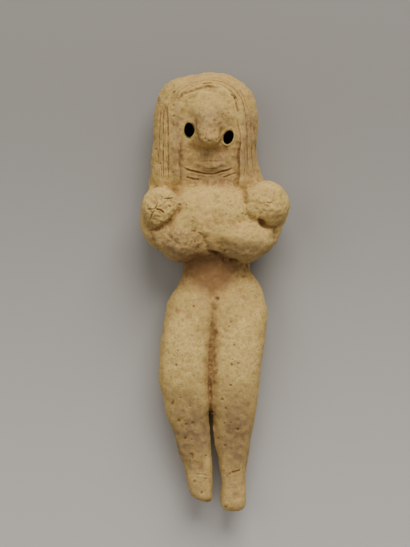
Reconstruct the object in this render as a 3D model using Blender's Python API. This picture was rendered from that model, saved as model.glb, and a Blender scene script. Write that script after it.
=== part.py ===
"""A hand-modelled clay figurine of a standing woman, fired in one piece and laid on its back.

The figure lies along Y with its crown at +Y, its face up along +Z and its own left hand side at +X.
The origin is under the middle of the figure, on the plane that its back rests on.

The figure is shaped in clay millimetres: across, along from the longer foot up to the crown, and
out of the back towards the viewer. The last step scales those three to the driving dimensions.
"""

from typing import NamedTuple

import bmesh
import bpy
import numpy as np

# Driving dimensions of the finished figurine, in metres.
FIGURE_LENGTH = 0.120
FIGURE_WIDTH = 0.0408
FIGURE_DEPTH = 0.0212
EYE_HOLE_WIDTH = 0.0025
EYE_HOLE_HEIGHT = 0.0037
EYE_HOLE_DEPTH = 0.0048

# The same three overall sizes in the clay millimetres that the forms below are given in.
CLAY_LENGTH = 120.0
CLAY_WIDTH = 40.8
CLAY_DEPTH = 19.6

# How finely the clay is worked, in clay millimetres.
ROUGH_GRID = 0.5
FINE_GRID = 0.42
RING_POINTS = 40
RING_STEP = 1.2
COIL_STEP = 0.6
COIL_FACETS = 6
PELLET_SEGMENTS = 32
PELLET_RINGS = 20
ARCH_POINTS = 25
EYE_POINTS = 28
PUNCH_REACH = 26.0
MOST_TRIANGLES = 9200

# How often a wet finger passes over the joins of each stage, from the trunk to the eye holes.
TRUNK_PASSES = 24
ARM_PASSES = 14
HAIR_PASSES = 5
EYE_PASSES = 2

# An end's rounding stops just short of a full quarter turn, and a slant fades out over a length.
END_ROUND = 0.94
END_SECTIONS_PER_STEP = 3
COIL_END_TURNS = (0.2, 1.45, 7)
SLANT_FADE = 7.0

# The back is rubbed flat where the figure lies, so that it doesn't rock, and trued at the end.
REST_RUB = 0.5
TRUING_RUB = 0.08

CLAY_COLOUR = (0.58, 0.43, 0.24, 1.0)
CLAY_ROUGHNESS = 0.85


class Station(NamedTuple):
    """A cross-section of a rolled form: where it is, and its four sides."""

    along: float
    left: float
    right: float
    back: float
    front: float


class Bead(NamedTuple):
    """A point on the middle line of a rolled coil, with the coil's radius there."""

    across: float
    along: float
    out: float
    radius: float


class Pellet(NamedTuple):
    """A pressed ball of clay: its middle, its half sizes and how much its poles are flattened."""

    middle: tuple
    half_sizes: tuple
    flatness: float = 0.0


class EyeHole(NamedTuple):
    """A punched oval: its middle, and how far its top leans to the right, in degrees."""

    across: float
    along: float
    lean: float


TORSO = (
    Station(27.0, -4.0, 4.0, 5.8, 7.6),
    Station(33.0, -8.4, 7.6, 4.2, 9.8),
    Station(40.0, -12.0, 11.4, 1.8, 12.3),
    Station(48.0, -13.3, 13.6, 0.5, 14.3),
    Station(54.0, -12.7, 15.2, 0.1, 15.2),
    Station(59.0, -11.4, 14.1, 0.8, 14.8),
    Station(63.0, -9.2, 12.8, 2.0, 13.6),
    Station(67.0, -8.1, 10.4, 2.9, 12.6),
    Station(71.0, -9.0, 10.8, 3.1, 12.8),
    Station(76.0, -13.0, 13.4, 2.4, 14.0),
    Station(82.0, -15.6, 15.8, 1.4, 14.4),
    Station(87.0, -15.4, 16.0, 0.9, 13.4),
    Station(91.0, -13.0, 10.8, 0.8, 12.0),
    Station(95.0, -9.0, 6.0, 1.5, 10.5),
)
LEFT_LEG = (
    Station(3.4, -6.0, 0.3, 3.9, 10.1),
    Station(6.5, -6.8, 0.4, 3.6, 9.9),
    Station(10.5, -7.2, 0.2, 3.7, 9.6),
    Station(15.5, -8.8, 0.0, 3.4, 10.3),
    Station(22.0, -10.4, -0.35, 2.9, 11.5),
    Station(26.0, -12.1, -0.35, 2.5, 12.4),
    Station(30.0, -12.8, 0.9, 2.0, 13.3),
    Station(36.0, -14.2, 0.6, 1.3, 14.4),
    Station(42.0, -14.1, 0.6, 0.7, 15.0),
    Station(48.0, -13.4, 0.9, 0.5, 15.0),
    Station(54.0, -11.8, 0.6, 1.2, 14.3),
    Station(58.0, -10.0, -0.5, 2.6, 12.8),
)
RIGHT_LEG = (
    Station(1.1, 2.0, 9.1, 3.9, 10.6),
    Station(3.6, 1.7, 9.4, 3.5, 10.8),
    Station(7.0, 2.2, 9.2, 3.7, 9.9),
    Station(10.5, 2.0, 9.2, 3.7, 9.7),
    Station(15.5, 1.15, 9.8, 3.4, 10.3),
    Station(22.0, 0.2, 10.6, 2.9, 11.5),
    Station(26.0, 0.15, 11.4, 2.5, 12.4),
    Station(30.0, -1.2, 11.9, 2.0, 13.3),
    Station(36.0, -1.8, 12.7, 1.3, 14.4),
    Station(42.0, -1.7, 13.4, 0.7, 15.0),
    Station(48.0, -0.9, 14.2, 0.5, 15.0),
    Station(54.0, 0.0, 14.5, 1.2, 14.3),
    Station(58.0, 1.5, 12.4, 2.6, 12.8),
)
FACE_CORE = (
    Station(84.0, -10.0, 8.2, 3.0, 12.0),
    Station(90.0, -10.4, 8.4, 3.0, 12.2),
    Station(96.0, -10.8, 8.5, 3.0, 13.0),
    Station(102.0, -11.0, 8.6, 3.0, 14.2),
    Station(108.0, -11.0, 8.6, 3.0, 15.3),
    Station(114.3, -9.8, 7.4, 3.0, 15.2),
)
HAIR_HOOD = (
    Station(81.5, -12.5, 9.5, 0.8, 4.4),
    Station(84.5, -14.8, 13.4, 0.2, 8.5),
    Station(88.0, -16.7, 15.1, 0.0, 13.2),
    Station(92.0, -16.6, 13.7, 0.0, 15.0),
    Station(98.0, -16.0, 11.9, 0.0, 15.9),
    Station(104.0, -15.4, 12.1, 0.0, 16.1),
    Station(109.0, -15.3, 12.1, 0.1, 16.1),
    Station(113.0, -14.3, 11.4, 0.7, 15.7),
    Station(116.0, -12.9, 9.9, 1.9, 14.8),
    Station(118.3, -10.3, 7.0, 3.6, 13.3),
    Station(119.9, -5.2, 3.6, 6.4, 10.6),
)

LEFT_ARM = (
    Bead(-13.9, 87.4, 8.4, 3.1),
    Bead(-15.4, 83.5, 9.2, 3.5),
    Bead(-15.9, 79.2, 10.0, 3.6),
    Bead(-14.6, 76.9, 11.4, 4.1),
    Bead(-11.4, 75.7, 12.6, 5.0),
    Bead(-8.8, 75.0, 12.8, 6.6),
    Bead(-5.0, 76.0, 12.8, 5.8),
    Bead(-1.6, 77.6, 12.6, 4.8),
)
RIGHT_ARM = (
    Bead(14.2, 87.4, 8.4, 3.2),
    Bead(16.6, 84.0, 9.4, 3.8),
    Bead(14.9, 79.5, 10.0, 3.7),
    Bead(13.7, 76.8, 11.4, 4.2),
    Bead(11.8, 75.5, 12.6, 5.3),
    Bead(9.0, 74.8, 13.0, 6.5),
    Bead(5.6, 75.0, 13.2, 6.2),
    Bead(1.8, 77.0, 13.0, 4.8),
)
NOSE = (
    Bead(-1.2, 111.5, 10.8, 4.4),
    Bead(-1.2, 108.2, 12.6, 4.2),
    Bead(-1.1, 105.4, 13.9, 3.9),
    Bead(-1.0, 102.9, 14.9, 3.6),
)

CHEST_PAD = Pellet((-0.4, 79.3, 10.8), (13.2, 10.4, 8.2), 0.35)
FOREHEAD_PAD = Pellet((-1.0, 108.4, 9.4), (8.0, 7.4, 6.9), 0.2)
LEFT_BREAST = Pellet((-13.7, 83.5, 14.4), (4.9, 5.4, 4.6), 0.6)
RIGHT_BREAST = Pellet((14.1, 84.4, 13.5), (6.1, 6.4, 5.4), 0.3)
LIPS = Pellet((-0.8, 95.2, 13.0), (4.1, 1.0, 0.7))

# The face shows through an arch in the hair.
ARCH_MIDDLE = -0.95
ARCH_HALF_WIDTH = 7.9
ARCH_SPRING = 107.0
ARCH_RISE = 8.8
ARCH_FOOT = 80.0
ARCH_FLOOR = 8.0

# The gap between the lower legs, cut right through: its outline across and along.
LEG_GAP = (
    (-0.55, 27.4),
    (-0.15, 27.4),
    (0.05, 24.8),
    (0.25, 22.4),
    (0.75, 18.5),
    (1.36, 15.5),
    (2.2, 11.0),
    (-0.1, 11.0),
    (-0.35, 14.0),
    (-0.5, 18.0),
    (-0.65, 22.4),
    (-0.7, 25.0),
)
GAP_FLOOR = -2.0

EYES = (
    EyeHole(-6.15, 104.3, -8.0),
    EyeHole(4.3, 102.35, 10.0),
)
FACE_FRONT = 14.5


def smooth_track(stations, step=RING_STEP):
    """The stations' values at evenly spaced places along a smooth curve through them."""
    table = np.array(stations, float)
    places = table[:, 0]
    slopes = np.gradient(table, places, axis=0)
    count = max(2, round((places[-1] - places[0]) / step) + 1)
    wanted = np.linspace(places[0], places[-1], count)
    span = np.clip(np.searchsorted(places, wanted, side="right") - 1, 0, len(places) - 2)
    width = (places[span + 1] - places[span])[:, None]
    t = (wanted[:, None] - places[span][:, None]) / width
    return (
        (2 * t**3 - 3 * t**2 + 1) * table[span]
        + (t**3 - 2 * t**2 + t) * width * slopes[span]
        + (3 * t**2 - 2 * t**3) * table[span + 1]
        + (t**3 - t**2) * width * slopes[span + 1]
    )


def ring_shape(squareness):
    """Points round a unit ring in the across and out directions, from a circle to a square."""
    turn = np.linspace(0, 2 * np.pi, RING_POINTS, endpoint=False)
    circle = np.stack([np.cos(turn), np.sin(turn)], axis=1)
    square = circle / np.abs(circle).max(axis=1, keepdims=True)
    return (1 - squareness) * circle + squareness * square


def rolled_form(stations, squareness=0.0, foot_round=0.0, head_round=0.0, foot_slant=0.0):
    """A closed form through the stations, with ends that round off over the lengths given.

    The slant tilts the foot end, by this much along for each millimetre across.
    """
    ring = ring_shape(squareness)
    track = [(row, 1.0) for row in smooth_track(stations)]
    foot = rounded_end(stations[0], -foot_round)
    head = rounded_end(stations[-1], head_round)
    track = foot[::-1] + track + head

    mesh = bmesh.new()
    rings = []
    for (along, left, right, back, front), share in track:
        middle = np.array([(left + right) / 2, (back + front) / 2])
        half = np.array([(right - left) / 2, (front - back) / 2]) * share
        tilt = foot_slant * max(0.0, 1.0 - (along - stations[0].along) / SLANT_FADE)
        points = middle + ring * half
        rings.append([mesh.verts.new((x, along + tilt * (x - middle[0]), z)) for x, z in points])
    for lower, upper in zip(rings, rings[1:]):
        for k in range(RING_POINTS):
            nxt = (k + 1) % RING_POINTS
            mesh.faces.new((lower[k], upper[k], upper[nxt], lower[nxt]))
    mesh.faces.new(rings[0])
    mesh.faces.new(rings[-1][::-1])
    bmesh.ops.recalc_face_normals(mesh, faces=mesh.faces)
    return finished_mesh("rolled_form", mesh)


def rounded_end(station, length):
    """Sections beyond the station that draw in like a quarter circle, each with its share of size."""
    sections = []
    steps = round(END_SECTIONS_PER_STEP * abs(length) / RING_STEP)
    for k in range(1, steps + 1):
        angle = END_ROUND * k / steps * np.pi / 2
        row = np.array(station, float)
        row[0] += length * np.sin(angle)
        sections.append((row, np.cos(angle)))
    return sections


def finished_mesh(name, mesh):
    """An object that holds the bmesh, which is freed."""
    data = bpy.data.meshes.new(name)
    mesh.to_mesh(data)
    mesh.free()
    made = bpy.data.objects.new(name, data)
    bpy.context.scene.collection.objects.link(made)
    return made


def coil(beads):
    """A rolled coil of clay through the beads, round in section and round at its ends."""
    points = smooth_coil(beads)
    curve = bpy.data.curves.new("coil", "CURVE")
    curve.dimensions = "3D"
    curve.bevel_depth = 1.0
    curve.bevel_resolution = COIL_FACETS
    curve.use_fill_caps = True
    spline = curve.splines.new("POLY")
    spline.points.add(len(points) - 1)
    for point, (x, y, z, radius) in zip(spline.points, points):
        point.co = (x, y, z, 1.0)
        point.radius = radius
    made = bpy.data.objects.new("coil", curve)
    bpy.context.scene.collection.objects.link(made)
    return baked(made)


def smooth_coil(beads):
    """Points and radii along the coil, with the ends drawn in over one radius."""
    table = np.array(beads, float)
    gaps = np.linalg.norm(np.diff(table[:, :3], axis=0), axis=1)
    reach = np.concatenate([[0], np.cumsum(gaps)])
    track = smooth_track(np.column_stack([reach, table]), COIL_STEP)[:, 1:]
    for end, inner in ((0, 1), (-1, -2)):
        tip = track[end]
        radius = tip[3]
        direction = tip[:3] - track[inner][:3]
        direction /= np.linalg.norm(direction)
        cap = []
        for angle in np.linspace(*COIL_END_TURNS):
            place = tip[:3] + direction * radius * np.sin(angle)
            cap.append([*place, radius * np.cos(angle)])
        cap = np.array(cap)
        track = np.vstack([cap[::-1], track] if end == 0 else [track, cap])
    return track


def pressed(pellet):
    """A ball of clay pressed on, with its outer face flattened."""
    mesh = bmesh.new()
    bmesh.ops.create_uvsphere(
        mesh, u_segments=PELLET_SEGMENTS, v_segments=PELLET_RINGS, radius=1.0
    )
    for vert in mesh.verts:
        vert.co.z = np.sign(vert.co.z) * abs(vert.co.z) ** (1 - pellet.flatness)
    bmesh.ops.scale(mesh, vec=pellet.half_sizes, verts=mesh.verts)
    bmesh.ops.translate(mesh, vec=pellet.middle, verts=mesh.verts)
    return finished_mesh("pellet", mesh)


def baked(made):
    """The same object with its modifiers worked in."""
    bpy.context.view_layer.update()
    graph = bpy.context.evaluated_depsgraph_get()
    data = bpy.data.meshes.new_from_object(made.evaluated_get(graph))
    if made.type == "MESH":
        made.modifiers.clear()
        made.data = data
        return made
    name = made.name
    bpy.data.objects.remove(made)
    solid = bpy.data.objects.new(name, data)
    bpy.context.scene.collection.objects.link(solid)
    return solid


def luted(name, lumps, grid, passes):
    """The lumps joined into one skin of clay, and its joins smoothed by so many passes."""
    mesh = bmesh.new()
    for lump in lumps:
        mesh.from_mesh(lump.data)
        bpy.data.objects.remove(lump)
    clay = finished_mesh(name, mesh)
    remesh = clay.modifiers.new("one_skin", "REMESH")
    remesh.mode = "VOXEL"
    remesh.voxel_size = grid
    smooth = clay.modifiers.new("wet_finger", "SMOOTH")
    smooth.factor = 0.5
    smooth.iterations = passes
    return baked(clay)


def hair_hood():
    """The hair: a hood that is cut open in front over the face, as an arch."""
    hood = rolled_form(HAIR_HOOD, squareness=0.12, foot_round=1.5, head_round=0.3)
    outline = [(ARCH_MIDDLE - ARCH_HALF_WIDTH, ARCH_FOOT)]
    for angle in np.linspace(np.pi, 0, ARCH_POINTS):
        across = ARCH_MIDDLE + ARCH_HALF_WIDTH * np.cos(angle)
        outline.append((across, ARCH_SPRING + ARCH_RISE * np.sin(angle)))
    outline.append((ARCH_MIDDLE + ARCH_HALF_WIDTH, ARCH_FOOT))
    return cut(hood, punch(outline, ARCH_FLOOR))


def eye_punch(eye):
    """The oval stick that leaves an eye hole in the soft clay."""
    half_width = EYE_HOLE_WIDTH * CLAY_WIDTH / FIGURE_WIDTH / 2
    half_height = EYE_HOLE_HEIGHT * CLAY_LENGTH / FIGURE_LENGTH / 2
    depth = EYE_HOLE_DEPTH * CLAY_DEPTH / FIGURE_DEPTH
    lean = np.radians(eye.lean)
    outline = []
    for turn in np.linspace(0, 2 * np.pi, EYE_POINTS, endpoint=False):
        x = half_width * np.sin(turn)
        y = half_height * np.cos(turn)
        across = eye.across + x * np.cos(lean) + y * np.sin(lean)
        outline.append((across, eye.along - x * np.sin(lean) + y * np.cos(lean)))
    return punch(outline, FACE_FRONT - depth)


def punch(outline, floor):
    """A straight-sided tool over the outline, from the floor out past the figure's front."""
    mesh = bmesh.new()
    face = mesh.faces.new([mesh.verts.new((x, y, floor)) for x, y in outline])
    raised = bmesh.ops.extrude_face_region(mesh, geom=[face])["geom"]
    top = [item for item in raised if isinstance(item, bmesh.types.BMVert)]
    bmesh.ops.translate(mesh, vec=(0, 0, PUNCH_REACH), verts=top)
    bmesh.ops.recalc_face_normals(mesh, faces=mesh.faces)
    return finished_mesh("punch", mesh)


def cut(made, cutter):
    """The object with the cutter's space taken out of it."""
    boolean = made.modifiers.new("cut", "BOOLEAN")
    boolean.operation = "DIFFERENCE"
    boolean.object = cutter
    made = baked(made)
    bpy.data.objects.remove(cutter)
    return made


def rubbed_flat(made, depth):
    """The back rubbed down this deep to one plane, where it is lowest."""
    mesh = bmesh.new()
    mesh.from_mesh(made.data)
    plane = min(vert.co.z for vert in mesh.verts) + depth
    for vert in mesh.verts:
        vert.co.z = max(vert.co.z, plane)
    mesh.to_mesh(made.data)
    mesh.free()
    return made


def fewer_faces(made):
    """The same form in as many triangles as the file may hold."""
    decimate = made.modifiers.new("fewer_faces", "DECIMATE")
    decimate.ratio = MOST_TRIANGLES / (2 * len(made.data.polygons))
    decimate.use_collapse_triangulate = True
    return baked(made)


def to_real_size(made):
    """Fits the clay to the driving sizes, with the figure's middle over the origin."""
    mesh = bmesh.new()
    mesh.from_mesh(made.data)
    places = np.array([vert.co for vert in mesh.verts])
    low, high = places.min(axis=0), places.max(axis=0)
    scale = np.array([FIGURE_WIDTH, FIGURE_LENGTH, FIGURE_DEPTH]) / (high - low)
    anchor = np.array([(low[0] + high[0]) / 2, (low[1] + high[1]) / 2, low[2]])
    bmesh.ops.translate(mesh, vec=-anchor, verts=mesh.verts)
    bmesh.ops.scale(mesh, vec=scale, verts=mesh.verts)
    mesh.to_mesh(made.data)
    mesh.free()
    return made


def fired_clay():
    """Low-fired buff earthenware."""
    clay = bpy.data.materials.new("fired_clay")
    clay.use_nodes = True
    shader = clay.node_tree.nodes["Principled BSDF"]
    shader.inputs["Base Color"].default_value = CLAY_COLOUR
    shader.inputs["Roughness"].default_value = CLAY_ROUGHNESS
    shader.inputs["Metallic"].default_value = 0.0
    return clay


def figurine():
    """The whole figure as one solid."""
    trunk = [
        rolled_form(TORSO, squareness=0.1),
        rolled_form(LEFT_LEG, squareness=0.25, foot_round=0.9, head_round=1.5, foot_slant=-0.34),
        rolled_form(RIGHT_LEG, squareness=0.25, foot_round=1.1, head_round=1.5),
        rolled_form(FACE_CORE, squareness=0.7, head_round=2.6),
        pressed(CHEST_PAD),
        pressed(FOREHEAD_PAD),
    ]
    body = luted("body", trunk, ROUGH_GRID, TRUNK_PASSES)
    coils = [coil(LEFT_ARM), coil(RIGHT_ARM), coil(NOSE)]
    body = luted("body", [body, *coils], ROUGH_GRID, ARM_PASSES)
    body = cut(body, punch(LEG_GAP, GAP_FLOOR))
    added = [hair_hood(), pressed(LEFT_BREAST), pressed(RIGHT_BREAST), pressed(LIPS)]
    figure = luted("body", [body, *added], FINE_GRID, HAIR_PASSES)
    for eye in EYES:
        figure = cut(figure, eye_punch(eye))
    figure = luted("figurine", [figure], FINE_GRID, EYE_PASSES)
    figure = fewer_faces(rubbed_flat(figure, REST_RUB))
    figure = to_real_size(rubbed_flat(figure, TRUING_RUB))
    figure.data.materials.append(fired_clay())
    return figure


for old in list(bpy.data.objects):
    bpy.data.objects.remove(old)
figure = figurine()
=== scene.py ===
"""A hand-modelled clay figurine of a standing woman, worked in the order in which its maker worked it.

The clay is rolled, pressed together, combed, punched and incised in clay millimetres: across,
along from the longer foot up to the crown, and out of the back. It is then fitted to the frame.
"""

import logging
import math
from dataclasses import dataclass, field
from enum import Enum, IntEnum
from typing import ClassVar

import bpy
import numpy as np
from mathutils import Euler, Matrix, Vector
from mathutils.kdtree import KDTree


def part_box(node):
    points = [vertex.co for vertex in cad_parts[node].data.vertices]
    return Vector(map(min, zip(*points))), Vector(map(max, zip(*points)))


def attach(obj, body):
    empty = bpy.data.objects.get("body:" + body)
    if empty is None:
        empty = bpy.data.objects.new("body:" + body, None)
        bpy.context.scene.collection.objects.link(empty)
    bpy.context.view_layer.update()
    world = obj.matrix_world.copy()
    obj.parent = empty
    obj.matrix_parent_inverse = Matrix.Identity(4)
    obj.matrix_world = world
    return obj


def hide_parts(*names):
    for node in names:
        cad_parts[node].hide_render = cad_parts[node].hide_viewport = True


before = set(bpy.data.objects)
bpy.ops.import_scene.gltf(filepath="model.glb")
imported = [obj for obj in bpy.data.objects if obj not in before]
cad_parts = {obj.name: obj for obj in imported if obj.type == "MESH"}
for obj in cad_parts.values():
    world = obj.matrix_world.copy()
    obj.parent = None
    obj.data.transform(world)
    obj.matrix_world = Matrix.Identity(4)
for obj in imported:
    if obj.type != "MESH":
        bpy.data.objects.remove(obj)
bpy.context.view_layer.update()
NODE = "figurine"
BODY = "root"

MOST_TRIANGLES = 196000
SEED = 20261128
WET_FINGER = 0.5
PIT_DEPTH = 0.9
PIT_EDGE = 3.0
PIT_RAGGED = 0.3

log = logging.getLogger("figurine")


class Grid(Enum):
    """How finely the clay is skinned over, in clay millimetres."""

    ROUGH = 0.5
    FINE = 0.4
    FINISH = 0.16


class Layer(IntEnum):
    """Which independent set of the grain's values each kind of work takes."""

    LINE_ACROSS = 3
    LINE_ALONG = 4
    LINE_FORCE = 5
    EDGE = 8
    ROUGH_PLACE = 12
    COMB_WAVER = 20
    COMB_LIFT = 24
    EYE_RIM = 30
    HANDLING = 40


@dataclass(frozen=True)
class Station:
    """A cross-section of a rolled form: where it is, and its four sides."""

    along: float
    left: float
    right: float
    back: float
    front: float

    def row(self) -> list[float]:
        """The five values in order."""
        return [self.along, self.left, self.right, self.back, self.front]


@dataclass(frozen=True)
class Bead:
    """A point on the middle line of a rolled coil, with the coil's radius there."""

    across: float
    along: float
    out: float
    radius: float

    def row(self) -> list[float]:
        """The four values in order."""
        return [self.across, self.along, self.out, self.radius]


def smooth_track(table: np.ndarray, step: float) -> np.ndarray:
    """Even steps along a smooth curve through a table's rows.

    Args:
        table: Rows of values, whose first column rises.
        step: The wanted distance in the first column.

    Returns:
        The rows of the curve.
    """
    places = table[:, 0]
    slopes = np.gradient(table, places, axis=0)
    count = max(2, round((places[-1] - places[0]) / step) + 1)
    wanted = np.linspace(places[0], places[-1], count)
    span = np.clip(np.searchsorted(places, wanted, side="right") - 1, 0, len(places) - 2)
    width = (places[span + 1] - places[span])[:, None]
    t = (wanted[:, None] - places[span][:, None]) / width
    return (
        (2 * t**3 - 3 * t**2 + 1) * table[span]
        + (t**3 - 2 * t**2 + t) * width * slopes[span]
        + (3 * t**2 - 2 * t**3) * table[span + 1]
        + (t**3 - t**2) * width * slopes[span + 1]
    )


def fade(values: np.ndarray, low: float, high: float) -> np.ndarray:
    """Rises smoothly from 0 at low to 1 at high, or falls where high is the smaller.

    Args:
        values: The values to judge.
        low: Where the result is 0.
        high: Where the result is 1.

    Returns:
        The shares, between 0 and 1.
    """
    t = np.clip((values - low) / (high - low), 0.0, 1.0)
    return t * t * (3.0 - 2.0 * t)


def deselect_all() -> None:
    """Leaves object mode with nothing selected."""
    if bpy.context.object and bpy.context.object.mode != "OBJECT":
        bpy.ops.object.mode_set(mode="OBJECT")
    bpy.ops.object.select_all(action="DESELECT")


def make_active(piece: bpy.types.Object) -> None:
    """Selects one piece alone.

    Args:
        piece: The piece that the next operator works on.
    """
    deselect_all()
    piece.select_set(True)
    bpy.context.view_layer.objects.active = piece


def apply_modifiers(piece: bpy.types.Object) -> None:
    """Works a piece's modifiers into its mesh, in order.

    Args:
        piece: The piece that has them.
    """
    make_active(piece)
    for modifier in list(piece.modifiers):
        bpy.ops.object.modifier_apply(modifier=modifier.name)


@dataclass
class RolledForm:
    """A form rolled and squeezed between the fingers, given by its cross-sections.

    Its ends round off over the lengths given. The slant tilts the foot end, by so much along for
    each millimetre across, and fades out over slant_fade.
    """

    name: str
    stations: list[Station]
    squareness: float = 0.1
    foot_round: float = 0.0
    head_round: float = 0.0
    foot_slant: float = 0.0
    slant_fade: float = 7.0
    ring_points: int = 40
    step: float = 1.2
    end_round: float = 0.94
    end_sections: int = 3

    def rounded_end(self, station: Station, length: float) -> list[tuple[np.ndarray, float]]:
        """Sections beyond a station that draw in like a quarter circle.

        Args:
            station: The end station.
            length: How far the end goes on, negative towards the feet.

        Returns:
            Each section's row with its share of the size.
        """
        sections = []
        steps = round(self.end_sections * abs(length) / self.step)
        for k in range(1, steps + 1):
            angle = self.end_round * k / steps * math.pi / 2
            row = np.array(station.row())
            row[0] += length * math.sin(angle)
            sections.append((row, math.cos(angle)))
        return sections

    def sections(self) -> list[tuple[np.ndarray, float]]:
        """Every section from foot to head, each with its share of the size."""
        table = np.array([station.row() for station in self.stations])
        middle = [(row, 1.0) for row in smooth_track(table, self.step)]
        foot = self.rounded_end(self.stations[0], -self.foot_round)
        head = self.rounded_end(self.stations[-1], self.head_round)
        return foot[::-1] + middle + head

    def build(self) -> bpy.types.Object:
        """The closed form, extruded ring by ring from one disc."""
        deselect_all()
        bpy.ops.mesh.primitive_circle_add(
            vertices=self.ring_points, radius=1.0, fill_type="NGON", rotation=(math.pi / 2, 0, 0)
        )
        form = bpy.context.object
        form.name = self.name
        bpy.ops.object.transform_apply(location=True, rotation=True, scale=True)
        for vert in form.data.vertices:
            widest = max(abs(vert.co.x), abs(vert.co.z))
            vert.co *= (1 - self.squareness) + self.squareness / widest
        bpy.ops.object.mode_set(mode="EDIT")
        bpy.ops.mesh.select_all(action="SELECT")
        place = Vector((0.0, 0.0, 0.0))
        half = Vector((1.0, 1.0, 1.0))
        for k, ((along, left, right, back, front), share) in enumerate(self.sections()):
            new_place = Vector(((left + right) / 2, along, (back + front) / 2))
            new_half = Vector(((right - left) / 2 * share, 1.0, (front - back) / 2 * share))
            move = new_place - place
            if k:
                bpy.ops.mesh.extrude_region_move(TRANSFORM_OT_translate={"value": move})
            else:
                bpy.ops.transform.translate(value=move)
            ratio = Vector((new_half.x / half.x, 1.0, new_half.z / half.z))
            bpy.ops.transform.resize(value=ratio, center_override=new_place)
            place = new_place
            half = new_half
        bpy.ops.mesh.select_all(action="SELECT")
        bpy.ops.mesh.normals_make_consistent(inside=False)
        bpy.ops.object.mode_set(mode="OBJECT")
        if self.foot_slant:
            self.slant(form)
        return form

    def slant(self, form: bpy.types.Object) -> None:
        """Tilts the foot end.

        Args:
            form: The form to tilt.
        """
        foot = self.stations[0]
        middle = (foot.left + foot.right) / 2
        for vert in form.data.vertices:
            nearness = max(0.0, 1.0 - (vert.co.y - foot.along) / self.slant_fade)
            vert.co.y += self.foot_slant * nearness * (vert.co.x - middle)


@dataclass
class Coil:
    """A rolled coil of clay through its beads, round in section and round at its ends."""

    name: str
    beads: list[Bead]
    step: float = 0.6
    cap_angles: tuple[float, float, int] = (0.2, 1.45, 7)
    ring_steps: int = 6

    def track(self) -> np.ndarray:
        """Points and radii along the coil, with the ends drawn in over one radius."""
        table = np.array([bead.row() for bead in self.beads])
        gaps = np.linalg.norm(np.diff(table[:, :3], axis=0), axis=1)
        reach = np.concatenate([[0], np.cumsum(gaps)])
        track = smooth_track(np.column_stack([reach, table]), self.step)[:, 1:]
        for end, inner in ((0, 1), (-1, -2)):
            tip = track[end]
            radius = tip[3]
            direction = tip[:3] - track[inner][:3]
            direction = direction / np.linalg.norm(direction)
            cap = []
            for angle in np.linspace(*self.cap_angles):
                place = tip[:3] + direction * radius * math.sin(angle)
                cap.append([*place, radius * math.cos(angle)])
            cap = np.array(cap)
            track = np.vstack([cap[::-1], track] if end == 0 else [track, cap])
        return track

    def build(self) -> bpy.types.Object:
        """The coil as a closed mesh."""
        curve = bpy.data.curves.new(self.name, "CURVE")
        curve.dimensions = "3D"
        curve.bevel_depth = 1.0
        curve.bevel_resolution = self.ring_steps
        curve.use_fill_caps = True
        spline = curve.splines.new("POLY")
        track = self.track()
        spline.points.add(len(track) - 1)
        for point, (x, y, z, radius) in zip(spline.points, track):
            point.co = (x, y, z, 1.0)
            point.radius = radius
        coil = bpy.data.objects.new(self.name, curve)
        bpy.context.scene.collection.objects.link(coil)
        make_active(coil)
        bpy.ops.object.convert(target="MESH")
        return bpy.context.object


@dataclass
class Pellet:
    """A pressed ball of clay: its middle, its half sizes and how much its poles are flattened."""

    name: str
    middle: tuple[float, float, float]
    half_sizes: tuple[float, float, float]
    flatness: float = 0.0
    segments: int = 32
    rings: int = 20

    def build(self) -> bpy.types.Object:
        """The pellet as a closed mesh."""
        deselect_all()
        bpy.ops.mesh.primitive_uv_sphere_add(segments=self.segments, ring_count=self.rings, radius=1.0)
        ball = bpy.context.object
        ball.name = self.name
        for vert in ball.data.vertices:
            height = abs(vert.co.z) ** (1 - self.flatness)
            vert.co.z = math.copysign(height, vert.co.z)
        bpy.ops.object.mode_set(mode="EDIT")
        bpy.ops.mesh.select_all(action="SELECT")
        bpy.ops.transform.resize(value=self.half_sizes)
        bpy.ops.transform.translate(value=self.middle)
        bpy.ops.object.mode_set(mode="OBJECT")
        return ball


@dataclass
class Punch:
    """A straight-sided tool over an outline, from its floor out past the figure's front."""

    name: str
    outline: list[tuple[float, float]]
    floor: float
    reach: float = 26.0

    def build(self) -> bpy.types.Object:
        """The tool as a closed mesh, extruded from its end face."""
        deselect_all()
        bpy.ops.mesh.primitive_circle_add(vertices=len(self.outline), fill_type="NGON")
        tool = bpy.context.object
        tool.name = self.name
        for vert, (across, along) in zip(tool.data.vertices, self.outline):
            vert.co = (across, along, self.floor)
        bpy.ops.object.mode_set(mode="EDIT")
        bpy.ops.mesh.select_all(action="SELECT")
        bpy.ops.mesh.extrude_region_move(TRANSFORM_OT_translate={"value": (0, 0, self.reach)})
        bpy.ops.mesh.select_all(action="SELECT")
        bpy.ops.mesh.normals_make_consistent(inside=False)
        bpy.ops.object.mode_set(mode="OBJECT")
        return tool


def lute(name: str, lumps: list[bpy.types.Object], grid: Grid, passes: int) -> bpy.types.Object:
    """Joins lumps into one skin of clay and smooths the joins.

    Args:
        name: The name of the joined clay.
        lumps: The closed lumps, which are used up.
        grid: How fine the new skin is.
        passes: How many times the skin is smoothed.

    Returns:
        The joined clay.
    """
    deselect_all()
    for lump in lumps:
        lump.select_set(True)
    bpy.context.view_layer.objects.active = lumps[0]
    if len(lumps) > 1:
        bpy.ops.object.join()
    clay = bpy.context.object
    clay.name = name
    remesh = clay.modifiers.new("one_skin", "REMESH")
    remesh.mode = "VOXEL"
    remesh.voxel_size = grid.value
    if passes:
        smooth = clay.modifiers.new("wet_finger", "SMOOTH")
        smooth.factor = WET_FINGER
        smooth.iterations = passes
    apply_modifiers(clay)
    return clay


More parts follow.
